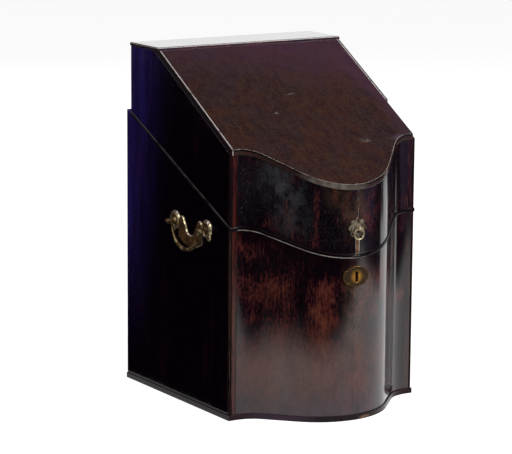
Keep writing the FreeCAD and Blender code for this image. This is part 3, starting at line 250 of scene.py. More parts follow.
class Finish:
    """One material, or the world, built from nodes.

    Its place is the position in the piece's own space, in metres, or for the world a direction.
    """

    def __init__(self, name, world=None):
        self.owner = world or bpy.data.materials.new(name)
        self.owner.use_nodes = True
        self.tree = self.owner.node_tree
        self.tree.nodes.clear()
        self.output = self.tree.nodes.new("ShaderNodeOutputWorld" if world else "ShaderNodeOutputMaterial")
        self.place = self.node("ShaderNodeTexCoord", out="Generated" if world else "Object")

    def node(self, kind, settings=None, sockets=None, out=0):
        """Add a node: its settings first, then values or links of its sockets; gives one output."""
        made = self.tree.nodes.new(kind)
        for name, value in (settings or {}).items():
            if name == "stops":
                self.set_stops(made.color_ramp, value)
            else:
                setattr(made, name, value)
        for name, value in (sockets or {}).items():
            self.feed(made.inputs[name], value)
        return Signal(self, made.outputs[out])

    def set_stops(self, ramp, stops):
        """Give a colour ramp its stops, each a position and a colour."""
        while len(ramp.elements) < len(stops):
            ramp.elements.new(1.0)
        for element, (position, colour) in zip(ramp.elements, stops):
            element.position = position
            element.color = (*colour, 1.0)

    def feed(self, socket, value):
        """Link a signal to a socket, or set the socket's own value."""
        if isinstance(value, Signal):
            self.tree.links.new(value.socket, socket)
            return
        if socket.type == "RGBA" and len(value) == 3:
            value = (*value, 1.0)
        socket.default_value = value

    def vector(self, operation, *values, out=0):
        """A Vector Math node on the given values."""
        return self.node("ShaderNodeVectorMath", {"operation": operation}, dict(enumerate(values)), out)

    def parts(self, vector=None):
        """The parts of the place, or of another vector, along the axes across, back and up."""
        split = self.node("ShaderNodeSeparateXYZ", sockets={0: vector or self.place}).socket.node
        return [Signal(self, socket) for socket in split.outputs]

    def facing(self):
        """How far the surface of the piece faces right, back and up, each from -1 to 1."""
        return self.parts(self.node("ShaderNodeTexCoord", out="Normal"))

    def stretched(self, stretch, shift=(0.0, 0.0, 0.0)):
        """Place scaled along each axis, then shifted."""
        return self.vector("ADD", self.vector("MULTIPLY", self.place, stretch), shift)

    def cloud(self, scale, detail=3.0, roughness=0.5, distortion=0.0, place=None):
        """Noise about 0.5, finer with a higher scale, over the place or a stretched one."""
        return self.node("ShaderNodeTexNoise", sockets={
            "Vector": place or self.place, "Scale": scale, "Detail": detail, "Roughness": roughness,
            "Distortion": distortion})

    def streaks(self, along, squeeze, *cloud):
        """Noise drawn out along one axis by a squeeze below 1; the rest as for a cloud."""
        stretch = [1.0, 1.0, 1.0]
        stretch[along] = squeeze
        return self.cloud(*cloud, place=self.stretched(tuple(stretch)))

    def step(self, value, low, high):
        """Smooth rise from 0 at low to 1 at high."""
        return self.node("ShaderNodeMapRange", {"interpolation_type": "SMOOTHSTEP"}, {
            "Value": value, "From Min": low, "From Max": high, "To Min": 0.0, "To Max": 1.0})

    def band(self, value, centre, half, soft):
        """1 where a value is within half of centre, with soft sides."""
        return 1.0 - self.step(abs(value - centre), half, half + soft)

    def patch(self, centre, radii, soft):
        """1 in the middle of an ellipsoid, falling to 0 at its surface over the soft share of its radii."""
        inverse = tuple(1.0 / radius for radius in radii)
        away = self.vector("MULTIPLY", self.vector("SUBTRACT", self.place, centre), inverse)
        return 1.0 - self.step(self.vector("LENGTH", away, out="Value"), 1.0 - soft, 1.0)

    def clamp(self, value):
        """Value held between 0 and 1."""
        return self.node("ShaderNodeClamp", sockets={"Value": value})

    def mix(self, share, first, second):
        """Two colours mixed by the share of the second."""
        settings = {"data_type": "RGBA", "blend_type": "MIX", "clamp_factor": True}
        sockets = {MIX_SHARE: share, MIX_FIRST: first, MIX_SECOND: second}
        return self.node("ShaderNodeMix", settings, sockets, MIX_RESULT)

    def ramp(self, value, *stops):
        """Colour by value, between (position, colour) stops."""
        return self.node("ShaderNodeValToRGB", {"stops": stops}, {"Fac": value})

    def rounded(self, radius):
        """Normal of the surface with its edges rounded off."""
        return self.node("ShaderNodeBevel", {"samples": 6}, {"Radius": radius})

    def edge(self, rounded):
        """0 on flat faces, rising at worn edges."""
        flat = self.node("ShaderNodeNewGeometry", out="Normal")
        along = self.vector("DOT_PRODUCT", rounded, flat, out="Value")
        return self.step(1.0 - along, 0.004, 0.12)

    def bump(self, height, distance, normal=None):
        """Normal of a fine relief, laid on another normal if one is given."""
        sockets = {"Height": height, "Distance": distance, "Strength": 1.0}
        if normal is not None:
            sockets["Normal"] = normal
        return self.node("ShaderNodeBump", sockets=sockets)

    def glowing(self, colour):
        """Shader that gives off a colour."""
        return self.node("ShaderNodeEmission", sockets={"Color": colour})

    def blended(self, share, first, second):
        """Two shaders mixed by the share of the second."""
        return self.node("ShaderNodeMixShader", sockets={0: share, 1: first, 2: second})

    def close(self, shader):
        """Link a shader to the output; gives the finished material or world."""
        self.tree.links.new(shader.socket, self.output.inputs["Surface"])
        return self.owner

    def surface(self, **values):
        """Finish with a principled shader whose sockets are given by name."""
        sockets = {name.replace("_", " "): value for name, value in values.items()}
        return self.close(self.node("ShaderNodeBsdfPrincipled", sockets=sockets))


def colour_prop(name, description, default):
    """Setting for a colour."""
    return bpy.props.FloatVectorProperty(
        name=name, description=description, default=default, size=3, subtype="COLOR", min=0.0, max=1.0)


def length_prop(name, description, default):
    """Setting for a length in metres."""
    return bpy.props.FloatProperty(
        name=name, description=description, default=default, min=0.0, unit="LENGTH", precision=5)


def share_prop(name, description, default):
    """Setting for a share from 0 to 1."""
    return bpy.props.FloatProperty(
        name=name, description=description, default=default, min=0.0, max=1.0, subtype="FACTOR")


def angle_prop(name, description, degrees):
    """Setting for an angle whose default is written in degrees."""
    return bpy.props.FloatProperty(
        name=name, description=description, default=math.radians(degrees), subtype="ANGLE")


def level_prop(name, description, default):
    """Setting for the level of a light."""
    return bpy.props.FloatProperty(name=name, description=description, default=default, min=0.0)


class DecanterWood(bpy.types.PropertyGroup):
    """Colours and grain of the mahogany and its stringing."""
    dark: colour_prop("Dark mahogany", "Dark streaks of the veneer", (0.0030, 0.0006, 0.0024))
    mid: colour_prop("Mahogany", "Main colour of the veneer", (0.027, 0.0044, 0.0072))
    warm: colour_prop("Warm mahogany", "Orange-brown patches of the veneer", (0.083, 0.0180, 0.0132))
    light: colour_prop("Light mahogany", "Lightest flames of the veneer", (0.152, 0.041, 0.024))
    bloom: colour_prop("Bloom", "Grey bloom and scratches in the polish", (0.085, 0.088, 0.098))
    sunned: colour_prop("Sunned wood", "Faded brown wood along the crown of the front", (0.150, 0.079, 0.046))
    worn: colour_prop("Worn edge", "Bare wood on worn edges", (0.20, 0.075, 0.042))
    arris: colour_prop("Worn arris", "Bare wood along the worn front corners", (0.36, 0.19, 0.10))
    # Dusty foot also paints part of the floor's sheen along the foot of the front.
    foot: colour_prop("Dusty foot", "Violet-grey dust along the foot of the front", (0.076, 0.043, 0.074))
    plain: colour_prop("Inner wood", "Wood that the polish does not cover", (0.10, 0.045, 0.025))
    tanned: colour_prop("Tanned wood", "Brown wood of the slope", (0.054, 0.0195, 0.0075))
    smoked: colour_prop("Smoked wood", "Violet-grey wood of the slope", (0.042, 0.0205, 0.0165))
    near_bloom: colour_prop("Near bloom", "Bloom on the front of the slope", (0.030, 0.024, 0.014))
    # Far bloom is bloom and painted violet reflection on the back and right end of the slope.
    far_bloom_and_reflection: colour_prop("Far bloom", "Bloom on the back of the slope", (0.072, 0.028, 0.062))
    # Lip glow is a painted highlight at the right end of the slope's lip.
    glow: colour_prop("Lip glow", "Pale violet mark at the right end of the lip", (0.14, 0.12, 0.19))
    # Cool haze and its plum streaks are a painted cool reflection at the back of the left boards.
    cool: colour_prop("Cool haze", "Haze at the back of the left boards", (0.033, 0.021, 0.205))
    plum_reflection: colour_prop("Plum", "Streaks in the cool haze", (0.058, 0.021, 0.105))
    ebony: colour_prop("Stringing", "Dark stringing along the corners", (0.0050, 0.0028, 0.0040))
    # Rubbed edge is real rubbing and scratching, and also the painted highlight along the tops of the beads
    # and the inner half of the slope's strings.
    rubbed: colour_prop("Rubbed edge", "Pale rubbed edges of beads and strings", (0.54, 0.49, 0.47))
    # Rubbed lip is a rubbed edge painted pale as a highlight along the slope's front edge.
    lip: colour_prop("Rubbed lip", "Grey-green rubbed edge of the slope", (0.62, 0.55, 0.47))
    gilt: colour_prop("Bare strip", "Bare strip of veneer under the ring", (0.23, 0.11, 0.038))
    streak: length_prop("Streak width", "Width of the dark streaks across the grain", 5 * MM)
    pore: length_prop("Pore width", "Width of the open pores across the grain", 0.45 * MM)
    rounding: length_prop("Edge rounding", "Radius of rubbed edges", 0.9 * MM)
    polish: share_prop("Polish", "Roughness of the polish where it is whole", 0.095)


class DecanterMetal(bpy.types.PropertyGroup):
    """Colours of the brass and the steel."""
    brass: colour_prop("Brass", "Rubbed brass", (0.33, 0.255, 0.115))
    gold: colour_prop("Golden brass", "Rubbed brass round the keyhole", (0.44, 0.21, 0.035))
    olive: colour_prop("Dull brass", "Grey-green ground of old brass", (0.036, 0.026, 0.013))
    petal: colour_prop("Grey brass", "Grey brass of the ring's plate", (0.40, 0.345, 0.26))
    umber: colour_prop("Brown ground", "Brown ground of the handle plates", (0.165, 0.075, 0.021))
    pale: colour_prop("Pale brass", "Bright brass of the pull ring", (0.46, 0.385, 0.235))
    tarnish: colour_prop("Tarnish", "Brown tarnish in the hollows", (0.040, 0.021, 0.009))
    # Dirt is painted shade: black round the keyhole that widens its dark opening.
    darkening: colour_prop("Dirt", "Black dirt round the keyhole", (0.004, 0.003, 0.002))
    steel: colour_prop("Steel", "Old lock steel", (0.24, 0.22, 0.20))
    rust: colour_prop("Rust", "Brown bloom on the steel", (0.10, 0.045, 0.022))
    grain: length_prop("Casting grain", "Size of the fine grain of the castings", 0.8 * MM)


class DecanterBaize(bpy.types.PropertyGroup):
    """Colour and nap of the lining cloth."""
    cloth: colour_prop("Baize", "Main colour of the lining", (0.028, 0.075, 0.040))
    faded: colour_prop("Faded baize", "Rubbed or faded lining", (0.075, 0.105, 0.055))
    dark: colour_prop("Dark baize", "Hollows of the nap", (0.010, 0.028, 0.016))
    thread: length_prop("Nap size", "Size of the fibres of the nap", 0.5 * MM)


class DecanterStage(bpy.types.PropertyGroup):
    """Camera and light of the studio."""
    camera: bpy.props.FloatVectorProperty(
        name="Camera", description="Where the camera stands", default=(-1.42781, -2.21724, 0.68394),
        size=3, subtype="TRANSLATION", unit="LENGTH")
    yaw: angle_prop("Yaw", "Turn of the view to the right of straight back", 32.0955)
    pitch: angle_prop("Pitch", "Tilt of the view downwards", 10.8215)
    roll: angle_prop("Roll", "Turn of the view about its own line", 0.4275)
    focal: bpy.props.FloatProperty(
        name="Focal length", description="Focal length in picture widths", default=FOCAL_PIXELS / IMAGE_WIDE)
    key: level_prop("Key light", "Level of the key light", 0.80)
    side: level_prop("Side light", "Level of the soft light from the left", 0.35)
    rim: level_prop("Rim light", "Level of the cool light that only polish and metal mirror", 0.35)
    rear: level_prop("Rear light", "Level of the light from behind, which nothing mirrors", 0.40)
    fill: level_prop("Room light", "Level of the light from all round", 0.02)


def worn_edges(finish, rounded):
    """Share of worn wood along edges, broken up by noise."""
    rubbed = finish.cloud(70.0, 4.0)
    return finish.edge(rounded) * finish.step(rubbed, 0.38, 0.62)


def mahogany_tone(finish, wood, along, squeeze):
    """Figure of the veneer from 0, dark, to 1, light, and its fine streaks by themselves.

    The figure is made of broad clouds, feathered flecks and fine streaks.
    """
    clouds = finish.streaks(along, squeeze * 1.8, 0.18 / wood.streak, 4.0, 0.55, 0.5)
    flecks = finish.streaks(along, squeeze, 2.3 / wood.streak, 4.0, 0.70, 0.3)
    fine = finish.streaks(along, squeeze * 0.2, 3.6 / wood.streak, 3.0, 0.6)
    return clouds * 0.44 + flecks * 0.34 + fine * 0.22, fine


def patches_sum(finish, patches):
    """Sum of soft patches, each a centre, radii and weight."""
    total = 0.0
    for centre, radii, weight in patches:
        total = finish.patch(centre, radii, 0.95) * weight + total
    return total


def specks(finish):
    """Sparse pale specks in the polish."""
    sockets = {"Vector": finish.place, "Scale": 70.0}
    cells = finish.node("ShaderNodeTexVoronoi", sockets=sockets, out="Distance")
    near = 1.0 - finish.step(cells, 0.04, 0.075)
    chosen = finish.parts(cells.output("Color"))[0]
    return near * finish.step(chosen, 0.78, 0.84)


def fine_scratches(finish):
    """Share of fine scratches, which lie in some places only."""
    drawn_out = finish.stretched((1.0, 0.35, 0.6), (3.1, 1.7, 0.4))
    scuffs = finish.cloud(420.0, 2.0, 0.7, place=drawn_out)
    where = finish.cloud(28.0, 2.0)
    return finish.step(scuffs, 0.70, 0.76) * finish.step(where, 0.52, 0.66)


def hazed(finish, colour, along, hazes):
    """Colour under broken hazes, each a colour of its own and the spots where it lies."""
    for haze_colour, spots in hazes:
        broken = finish.streaks(along, 0.7, 75.0, 8.0, 0.80)
        haze = finish.clamp(patches_sum(finish, spots)) * finish.step(broken, 0.36, 0.64)
        colour = finish.mix(haze, colour, haze_colour)
    return colour


def mahogany(name, wood, along, shade=0.0, contrast=2.0, squeeze=0.26, patches=(), hazes=(),
             calm_below=None, details=None, coat=0.0, wear=0.75, dust=0.0, gloss=0.58):
    """French-polished mahogany whose grain runs along one axis.

    A negative shade is darker. Patches warm or darken the figure, each haze lays its colour in some spots, as
    bloom, faded wood, dust or painted sheen, the figure is calmer below a height, and details may change the
    colour further. Wear is how bare the edges are, and dust how much fine dust lies in the polish, each from
    0 to 1.
    """
    finish = Finish(name)
    figure, fine = mahogany_tone(finish, wood, along, squeeze)
    swing = (figure - 0.5) * contrast
    if calm_below is not None:
        swing = swing * (0.42 + finish.step(finish.parts()[UP], calm_below * 0.5, calm_below) * 0.58)
    tone = swing + 0.5 + shade + patches_sum(finish, patches)
    colour = finish.ramp(tone, (0.34, wood.dark), (0.50, wood.mid), (0.66, wood.warm), (0.86, wood.light))
    pores = finish.streaks(along, 0.025, 0.5 / wood.pore, 2.0, 0.55)
    pore_share = finish.step(pores, 0.60, 0.70) * 0.5
    colour = finish.mix(pore_share, colour, wood.dark)
    scratch = fine_scratches(finish)
    colour = finish.mix(scratch * 0.4 + specks(finish) * 0.6, colour, wood.bloom)
    colour = hazed(finish, colour, along, hazes)
    if dust > 0.0:
        grit = finish.step(finish.cloud(560.0, 3.0, 0.7), 0.48, 0.66)
        colour = finish.mix(grit * dust, colour, wood.bloom)
    rounded = finish.rounded(wood.rounding)
    worn = worn_edges(finish, rounded)
    colour = finish.mix(worn * wear, colour, wood.worn)
    if details is not None:
        colour = details(finish, colour, wood)
    smears = finish.cloud(22.0, 4.0, 0.6)
    rough = wood.polish + finish.step(smears, 0.40, 0.75) * 0.06 + worn * 0.25 + scratch * 0.2
    relief = finish.bump(fine * 0.5 - pore_share - scratch * 0.5, 0.03 * MM, rounded)
    slow = finish.streaks(along, 0.35, 34.0, 1.0)
    rippled = finish.bump(slow, 0.24 * MM, relief)
    return finish.surface(Base_Color=colour, Roughness=rough, Normal=rippled, Specular_IOR_Level=gloss,
                          Coat_Weight=coat, Coat_Roughness=0.03)


def side_details(finish, colour, wood):
    """Painted cool reflection at the back of a left board, and its warm forward edge beside the stringing,
    kept out of the painted shade.
    """
    across, back, up = finish.parts()
    drift = finish.streaks(UP, 0.22, 70.0, 4.0)
    streaks = finish.streaks(UP, 0.06, 190.0, 3.0)
    # This haze is a painted cool reflection, strongest at the back and top of the board and streaked with
    # plum.
    fade = finish.step(back + (up - 0.2) * 0.16, 0.035, 0.155)
    haze = fade * fade * finish.step(up, 0.0, 0.18) * (0.55 + finish.step(drift, 0.36, 0.64) * 0.45)
    tint = finish.mix(finish.step(streaks, 0.36, 0.66) * 0.7, wood.cool, wood.plum_reflection)
    colour = finish.mix(haze, colour, tint)
    # The forward face is left out of the painted shade: it takes mid and warm mahogany, darker towards the
    # inside.
    ahead = finish.step(0.0 - finish.facing()[BACK], 0.5, 0.8)
    knocks = finish.streaks(UP, 0.3, 160.0, 4.0)
    bare = finish.mix(finish.step(knocks, 0.34, 0.60), wood.mid, wood.warm)
    inner = finish.step(across, 4 * MM - CASE_SIDE, 8 * MM - CASE_SIDE)
    bare = finish.mix(inner * 0.6, bare, wood.dark)
    return finish.mix(ahead, colour, bare)


def shaded_left_board(name, wood, wear):
    """Polished board of the left side, painted darker than the right board as painted shade."""
    return mahogany(name, wood, UP, shade=-0.24, contrast=1.6, squeeze=0.1, wear=wear, gloss=0.28,
                    details=side_details)


def right_board(name, wood):
    """Polished board of the right side."""
    return mahogany(name, wood, UP, shade=-0.06, contrast=2.2, squeeze=0.12)


def rear_board(name, wood):
    """Polished board of the back."""
    return mahogany(name, wood, UP, contrast=1.8, squeeze=0.12)


def seam_height(finish):
    """Height above the plane where the lid meets the carcass."""
    _, back, up = finish.parts()
    return up - SEAM_FRONT - (back - CORNER_Y) * SEAM_RISE


def front_details(finish, colour, wood):
    """Darker band of the front just under the bead of the lid."""
    darkening = finish.step(seam_height(finish), -22 * MM, -4 * MM)
    return finish.mix(darkening * 0.75, colour, wood.dark)


def lid_front_details(finish, colour, wood):
    """Open joint of the veneer above the ring, a bare strip under it, darker wood just over the bead, a nail
    hole.
    """
    across, _, up = finish.parts()
    ring_low, ring_high = (corner[UP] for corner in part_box("ring_plate"))
    knocks = finish.streaks(UP, 0.4, 220.0, 4.0)
    above = finish.step(up, ring_high - 1 * MM, ring_high + 2 * MM)
    joint = finish.band(across, JOINT_ACROSS, LINE_HALF, 0.35 * MM) * above
    colour = finish.mix(joint * finish.step(knocks, 0.38, 0.56) * 0.55, colour, wood.rubbed)
    below = 1.0 - finish.step(up, ring_low - 1.5 * MM, ring_low)
    strip = finish.band(across, STRIP_ACROSS, STRIP_HALF, 0.4 * MM) * below
    colour = finish.mix(strip * finish.step(knocks, 0.30, 0.55), colour, wood.gilt)
    rim = finish.band(abs(across - STRIP_ACROSS), RIM_AWAY, LINE_HALF, 0.3 * MM) * below
    colour = finish.mix(rim * finish.step(knocks, 0.34, 0.52) * 0.7, colour, wood.rubbed)
    darkening = 1.0 - finish.step(seam_height(finish), 4 * MM, 11 * MM)
    hole = finish.patch(*NAIL_HOLE, 0.4)
    return finish.mix(finish.clamp(darkening * 0.65 * (1.0 - strip) + hole), colour, wood.dark)


def slope_bloom(finish, colour, wood):
    """Brown and violet-grey slope wood under bloom and painted violet reflection, with a painted pale
    highlight at the right of its lip.
    """
    across, back, _ = finish.parts()
    broad = finish.cloud(30.0, 4.0, 0.6)
    streaks = finish.streaks(BACK, 0.35, 120.0, 4.0, 0.7)
    grit = finish.cloud(480.0, 3.0, 0.75)
    tint = finish.mix(finish.step(broad, 0.42, 0.60), wood.tanned, wood.smoked)
    colour = finish.mix(finish.step(streaks * 0.4 + grit * 0.6, 0.36, 0.62), colour, tint)
    # Towards the back and the right end the bloom turns violet: bloom and painted reflection.
    far = finish.step(across * 0.2 + back, -0.03, 0.085)
    violet = finish.clamp(far + finish.step(across, 0.084, 0.108) * 0.7)
    bloom = finish.mix(violet, wood.near_bloom, wood.far_bloom_and_reflection)
    clouds = finish.cloud(45.0, 5.0, 0.65)
    colour = finish.mix(finish.step(clouds, 0.35, 0.70) * 0.15 + violet * 0.38, colour, bloom)
    # Painted highlight: a pale violet mark at the right end of the lip.
    return finish.mix(finish.patch(*LIP_HIGHLIGHT, 0.9) * 0.5, colour, wood.glow)


def slope_scratches(finish, colour, wood):
    """A few clusters of pale scratches on the slope."""
    spots = 0.0
    for centre, radii in SLOPE_SCRATCHES:
        spots = finish.patch(centre, radii, 0.8) + spots
    fine = finish.streaks(ACROSS, 0.15, 900.0, 2.0)
    return finish.mix(finish.clamp(spots) * finish.step(fine, 0.48, 0.60) * 0.3, colour, wood.rubbed)


def slope_edge(finish, knocks, wood):
    """Edge of the slope's board: black along the top, smoked lower down and rubbed in one place."""
    _, back, up = finish.parts()
    depth = (back - CORNER_Y) * SLOPE_RISE + SLOPE_FRONT - up
    colour = finish.mix(finish.step(depth, 1.6 * MM, 2.2 * MM), wood.ebony, wood.smoked)
    bare = finish.patch(*LIP_BARE, 0.5) * (0.5 + finish.step(knocks, 0.38, 0.56) * 0.5)
    return finish.mix(bare * 0.25, colour, wood.lip)


def slope_details(finish, colour, wood):
    """Bloom and scratches over the slope, the dark edge of its board and a rubbed lip painted pale as a
    highlight.
    """
    colour = slope_bloom(finish, colour, wood)
    colour = slope_scratches(finish, colour, wood)
    knocks = finish.cloud(130.0, 4.0)
    up_share = finish.step(finish.facing()[UP], 0.35, 0.65)
    colour = finish.mix(up_share, slope_edge(finish, knocks, wood), colour)
    across = finish.parts()[ACROSS]
    inside = 1.0 - finish.step(abs(across), CASE_SIDE - 6 * MM, CASE_SIDE - 4 * MM)
    # The lip is a rubbed edge painted pale as a highlight, on upward edges inside the strings.
    lip = finish.edge(finish.rounded(1.5 * MM)) * up_share * inside * finish.step(knocks, 0.30, 0.48)
    return finish.mix(lip, colour, wood.lip)


def stringing(name, wood, edge_colour, wear, painted_highlight_inside=False):
    """Dark stringing with rubbed edges; wear runs from 0 to 1.

    Where the inner half is asked for, the half of its width that is nearer the middle of the case is painted
    pale as a highlight instead of the edges.
    """
    finish = Finish(name)
    grain = finish.streaks(UP, 0.05, 700.0, 3.0)
    rounded = finish.rounded((0.4 + 0.5 * wear) * MM)
    knocks = finish.streaks(UP, 0.45, 60.0, 5.0, 0.65)
    # With the inner half chosen, the pale share is a painted highlight; otherwise it is wear on the edges.
    if painted_highlight_inside:
        outward = abs(finish.parts()[ACROSS])
        worn = 1.0 - finish.step(outward, CASE_SIDE - 1.9 * MM, CASE_SIDE - 1.3 * MM)
    else:
        worn = finish.edge(rounded)
    worn = worn * finish.step(knocks, 0.52 - 0.2 * wear, 0.68 - 0.2 * wear)
    base = finish.mix(finish.step(grain, 0.40, 0.8), wood.ebony, wood.mid)
    base = finish.mix(worn * 0.85, base, edge_colour)
    rough = 0.30 + finish.step(knocks, 0.4, 0.7) * 0.2 + worn * 0.1
    relief = finish.bump(grain * 0.4 + knocks, 0.15 * MM, rounded)
    return finish.surface(Base_Color=base, Roughness=rough, Normal=relief, Specular_IOR_Level=0.05)


def bead_with_painted_highlight(name, wood, highlight_share, highlight_end, low, high):
    """Dark bead under the lid, rubbed pale between two heights over the seam as a painted highlight on its
    top, as far right as a given end.

    The share of that rubbing and painted highlight runs from 0, dark, to 1, pale.
    """
    finish = Finish(name)
    rounded = finish.rounded(0.6 * MM)
    knocks = finish.cloud(90.0, 4.0, 0.6)
    long_knocks = finish.cloud(24.0, 2.0)
    across = finish.parts()[ACROSS]
    height = seam_height(finish)
    soft = 0.4 * MM
    # The pale share is rubbing and a painted highlight along the bead's top, broken up by knocks.
    bare = finish.step(knocks * 0.5 + long_knocks * 0.5, 0.34, 0.52)
    bare = bare * (1.0 - finish.step(across, highlight_end - 1 * MM, highlight_end + 1 * MM) * 0.9)
    bare = bare * finish.step(height, low, low + soft) * (1.0 - finish.step(height, high, high + soft))
    base = finish.mix(finish.step(knocks, 0.5, 0.9), wood.dark, wood.mid)
    base = finish.mix(bare * highlight_share, base, wood.rubbed)
    rough = 0.30 + bare * 0.25
    relief = finish.bump(knocks, 0.2 * MM, rounded)
    return finish.surface(Base_Color=base, Roughness=rough, Normal=relief, Specular_IOR_Level=0.06)


def base_wood(name, wood):
    """Dark, dusty edge of the bottom board, rubbed along its corners, with bare wood underneath."""
    finish = Finish(name)
    grain = finish.cloud(260.0, 4.0, 0.6, place=finish.stretched((0.06, 0.06, 1.0)))
    rounded = finish.rounded(0.6 * MM)
    knocks = finish.cloud(80.0, 4.0, 0.6)
    upward = finish.facing()[UP]
    rubbed = finish.edge(rounded) * finish.step(knocks, 0.36, 0.56) * (1.0 - finish.step(upward, 0.5, 0.8))
    base = finish.mix(finish.step(grain, 0.35, 0.70), wood.dark, wood.mid)
    base = finish.mix(finish.patch(*BASE_DUST, 0.8) * 0.7, base, wood.foot)
    base = finish.mix(rubbed * 0.8, base, wood.bloom)
    # Darker band along the top of the front edge.
    base = finish.mix(finish.patch(*BASE_DARK_BAND, 0.4) * 0.9, base, wood.ebony)
    chip = finish.patch(*BASE_CHIP, 0.5) * finish.step(knocks, 0.35, 0.5)
    base = finish.mix(chip * 0.6, base, wood.arris)
    under = 1.0 - finish.step(upward, -0.8, -0.4)
    base = finish.mix(under, base, wood.plain)
    rough = 0.30 + rubbed * 0.2 + under * 0.3
    relief = finish.bump(grain * 0.5 + knocks, 0.12 * MM, rounded)
    return finish.surface(Base_Color=base, Roughness=rough, Normal=relief, Specular_IOR_Level=0.15)


def brass(name, metal, bright, ground, tarnish_share, golden=None, painted_shade=None, bevel=False, crust=0.35):
    """Cast and polished brass: bright on its edges and bevels, tarnished on its ground.

    Golden and painted shade are spots, each a centre and radii; the painted shade spot is black and holds no
    metal. Crust is how far the tarnish hides the metal, from 0 to 1.
    """
    finish = Finish(name)
    rounded = finish.rounded(0.5 * MM)
    edge = finish.edge(rounded)
    if bevel:
        slant = 1.0 - finish.step(abs(finish.facing()[ACROSS]), 0.80, 0.97)
        edge = finish.clamp(edge + slant)
    blotch = finish.cloud(140.0, 4.0, 0.6)
    fine = finish.cloud(0.6 / metal.grain, 3.0)
    dull = finish.step(blotch, 0.62 - 0.50 * tarnish_share, 0.85 - 0.45 * tarnish_share)
    if golden is not None:
        dull = dull - finish.patch(*golden, 0.8)
    dull = finish.clamp(dull - edge * 0.9)
    stained = finish.mix(finish.step(blotch * 0.6 + fine * 0.4, 0.40, 0.60), ground, metal.tarnish)
    base = finish.mix(dull, bright, stained)
    base = finish.mix(finish.step(fine, 0.55, 0.75) * 0.5, base, metal.tarnish)
    bare = 1.0 - dull * crust
    if painted_shade is not None:
        # A painted shade spot: black, without metal.
        darkening = finish.patch(*painted_shade, 0.35)
        base = finish.mix(darkening, base, metal.darkening)
        bare = bare * (1.0 - darkening)
    rough = 0.25 + dull * 0.28 + fine * 0.10
    relief = finish.bump(fine * 0.5 + blotch, 0.12 * MM, rounded)
    return finish.surface(Base_Color=base, Roughness=rough, Metallic=bare, Normal=relief,
                          Specular_IOR_Level=0.08)


def old_steel(name, metal):
    """Brushed steel with a bloom of rust."""
    finish = Finish(name)
    bloom = finish.cloud(110.0, 5.0, 0.65)
    brushed = finish.streaks(ACROSS, 0.05, 1500.0, 2.0)
    rust = finish.step(bloom, 0.50, 0.68)
    base = finish.mix(rust * 0.8, metal.steel, metal.rust)
    relief = finish.bump(bloom + brushed * 0.3, 0.08 * MM, finish.rounded(0.3 * MM))
    rough = 0.30 + rust * 0.35 + brushed * 0.08
    return finish.surface(Base_Color=base, Roughness=rough, Metallic=1.0 - rust * 0.6, Normal=relief)


def baize(name, cloth):
    """Felted lining cloth with a short nap."""
    finish = Finish(name)
    nap = finish.cloud(0.5 / cloth.thread, 4.0, 0.7)
    rubbed = finish.cloud(30.0, 3.0)
    base = finish.mix(finish.step(rubbed, 0.45, 0.75) * 0.7, cloth.cloth, cloth.faded)
    base = finish.mix(finish.step(nap, 0.35, 0.65) * 0.5, base, cloth.dark)
    relief = finish.bump(nap, 0.4 * MM)
    rough = 0.9 + nap * 0.1
    return finish.surface(Base_Color=base, Roughness=rough, Normal=relief, Sheen_Weight=0.4,
                          Sheen_Roughness=0.5)


def assign(material, *names):
    """Give a material to CAD nodes."""
    for name in names:
        node = NODES[name]
        node.data.materials.clear()
        node.data.materials.append(material)


def both(pattern):
    """Names of a left and a right node."""
    return [pattern % side for side in ("left", "right")]


class DECANTER_OT_carcass(bpy.types.Operator):
    """Polish the boards of the carcass"""
    bl_idname = "decanter.carcass"
    bl_label = "Carcass boards"

    def execute(self, context):
        wood = context.scene.decanter_wood
        hazes = [(wood.bloom, FRONT_BLOOM_AND_SHEEN), (wood.sunned, FRONT_SUNNED), (wood.foot, FRONT_DUST_AND_SHEEN)]
        front = mahogany("mahogany_front", wood, UP, shade=-0.08, contrast=3.1, squeeze=0.42, dust=0.06,
                         gloss=0.53, patches=FRONT_PATCHES, hazes=hazes, calm_below=0.12,
                         details=front_details)
        assign(front, "front_board")
        assign(shaded_left_board("mahogany_left", wood, wear=0.2), "left_side")
        assign(right_board("mahogany_right", wood), "right_side")
        assign(rear_board("mahogany_back", wood), "back_board")
        assign(base_wood("bottom_wood", wood), "bottom_board")
        return {"FINISHED"}


class DECANTER_OT_lid(bpy.types.Operator):
    """Polish the boards of the lid"""
    bl_idname = "decanter.lid"
    bl_label = "Lid boards"

    def execute(self, context):
        wood = context.scene.decanter_wood
        hazes = [(wood.bloom, LID_BLOOM), (wood.sunned, LID_SUNNED)]
        front = mahogany("mahogany_lid_front", wood, UP, shade=-0.21, contrast=2.9, squeeze=0.42, dust=0.16,
                         patches=LID_PATCHES, hazes=hazes, details=lid_front_details)
        assign(front, "lid_front")
        assign(shaded_left_board("mahogany_lid_left", wood, wear=0.1), "lid_left_side")
        assign(right_board("mahogany_lid_right", wood), "lid_right_side")
        assign(rear_board("mahogany_lid_back", wood), "lid_back")
        slope = mahogany("mahogany_slope", wood, BACK, shade=-0.10, contrast=0.6, squeeze=0.6, dust=0.10,
                         gloss=0.30, patches=SLOPE_PATCHES, details=slope_details)
        assign(slope, "lid_slope")
        assign(mahogany("mahogany_top", wood, ACROSS, coat=1.0), "lid_top")
        return {"FINISHED"}


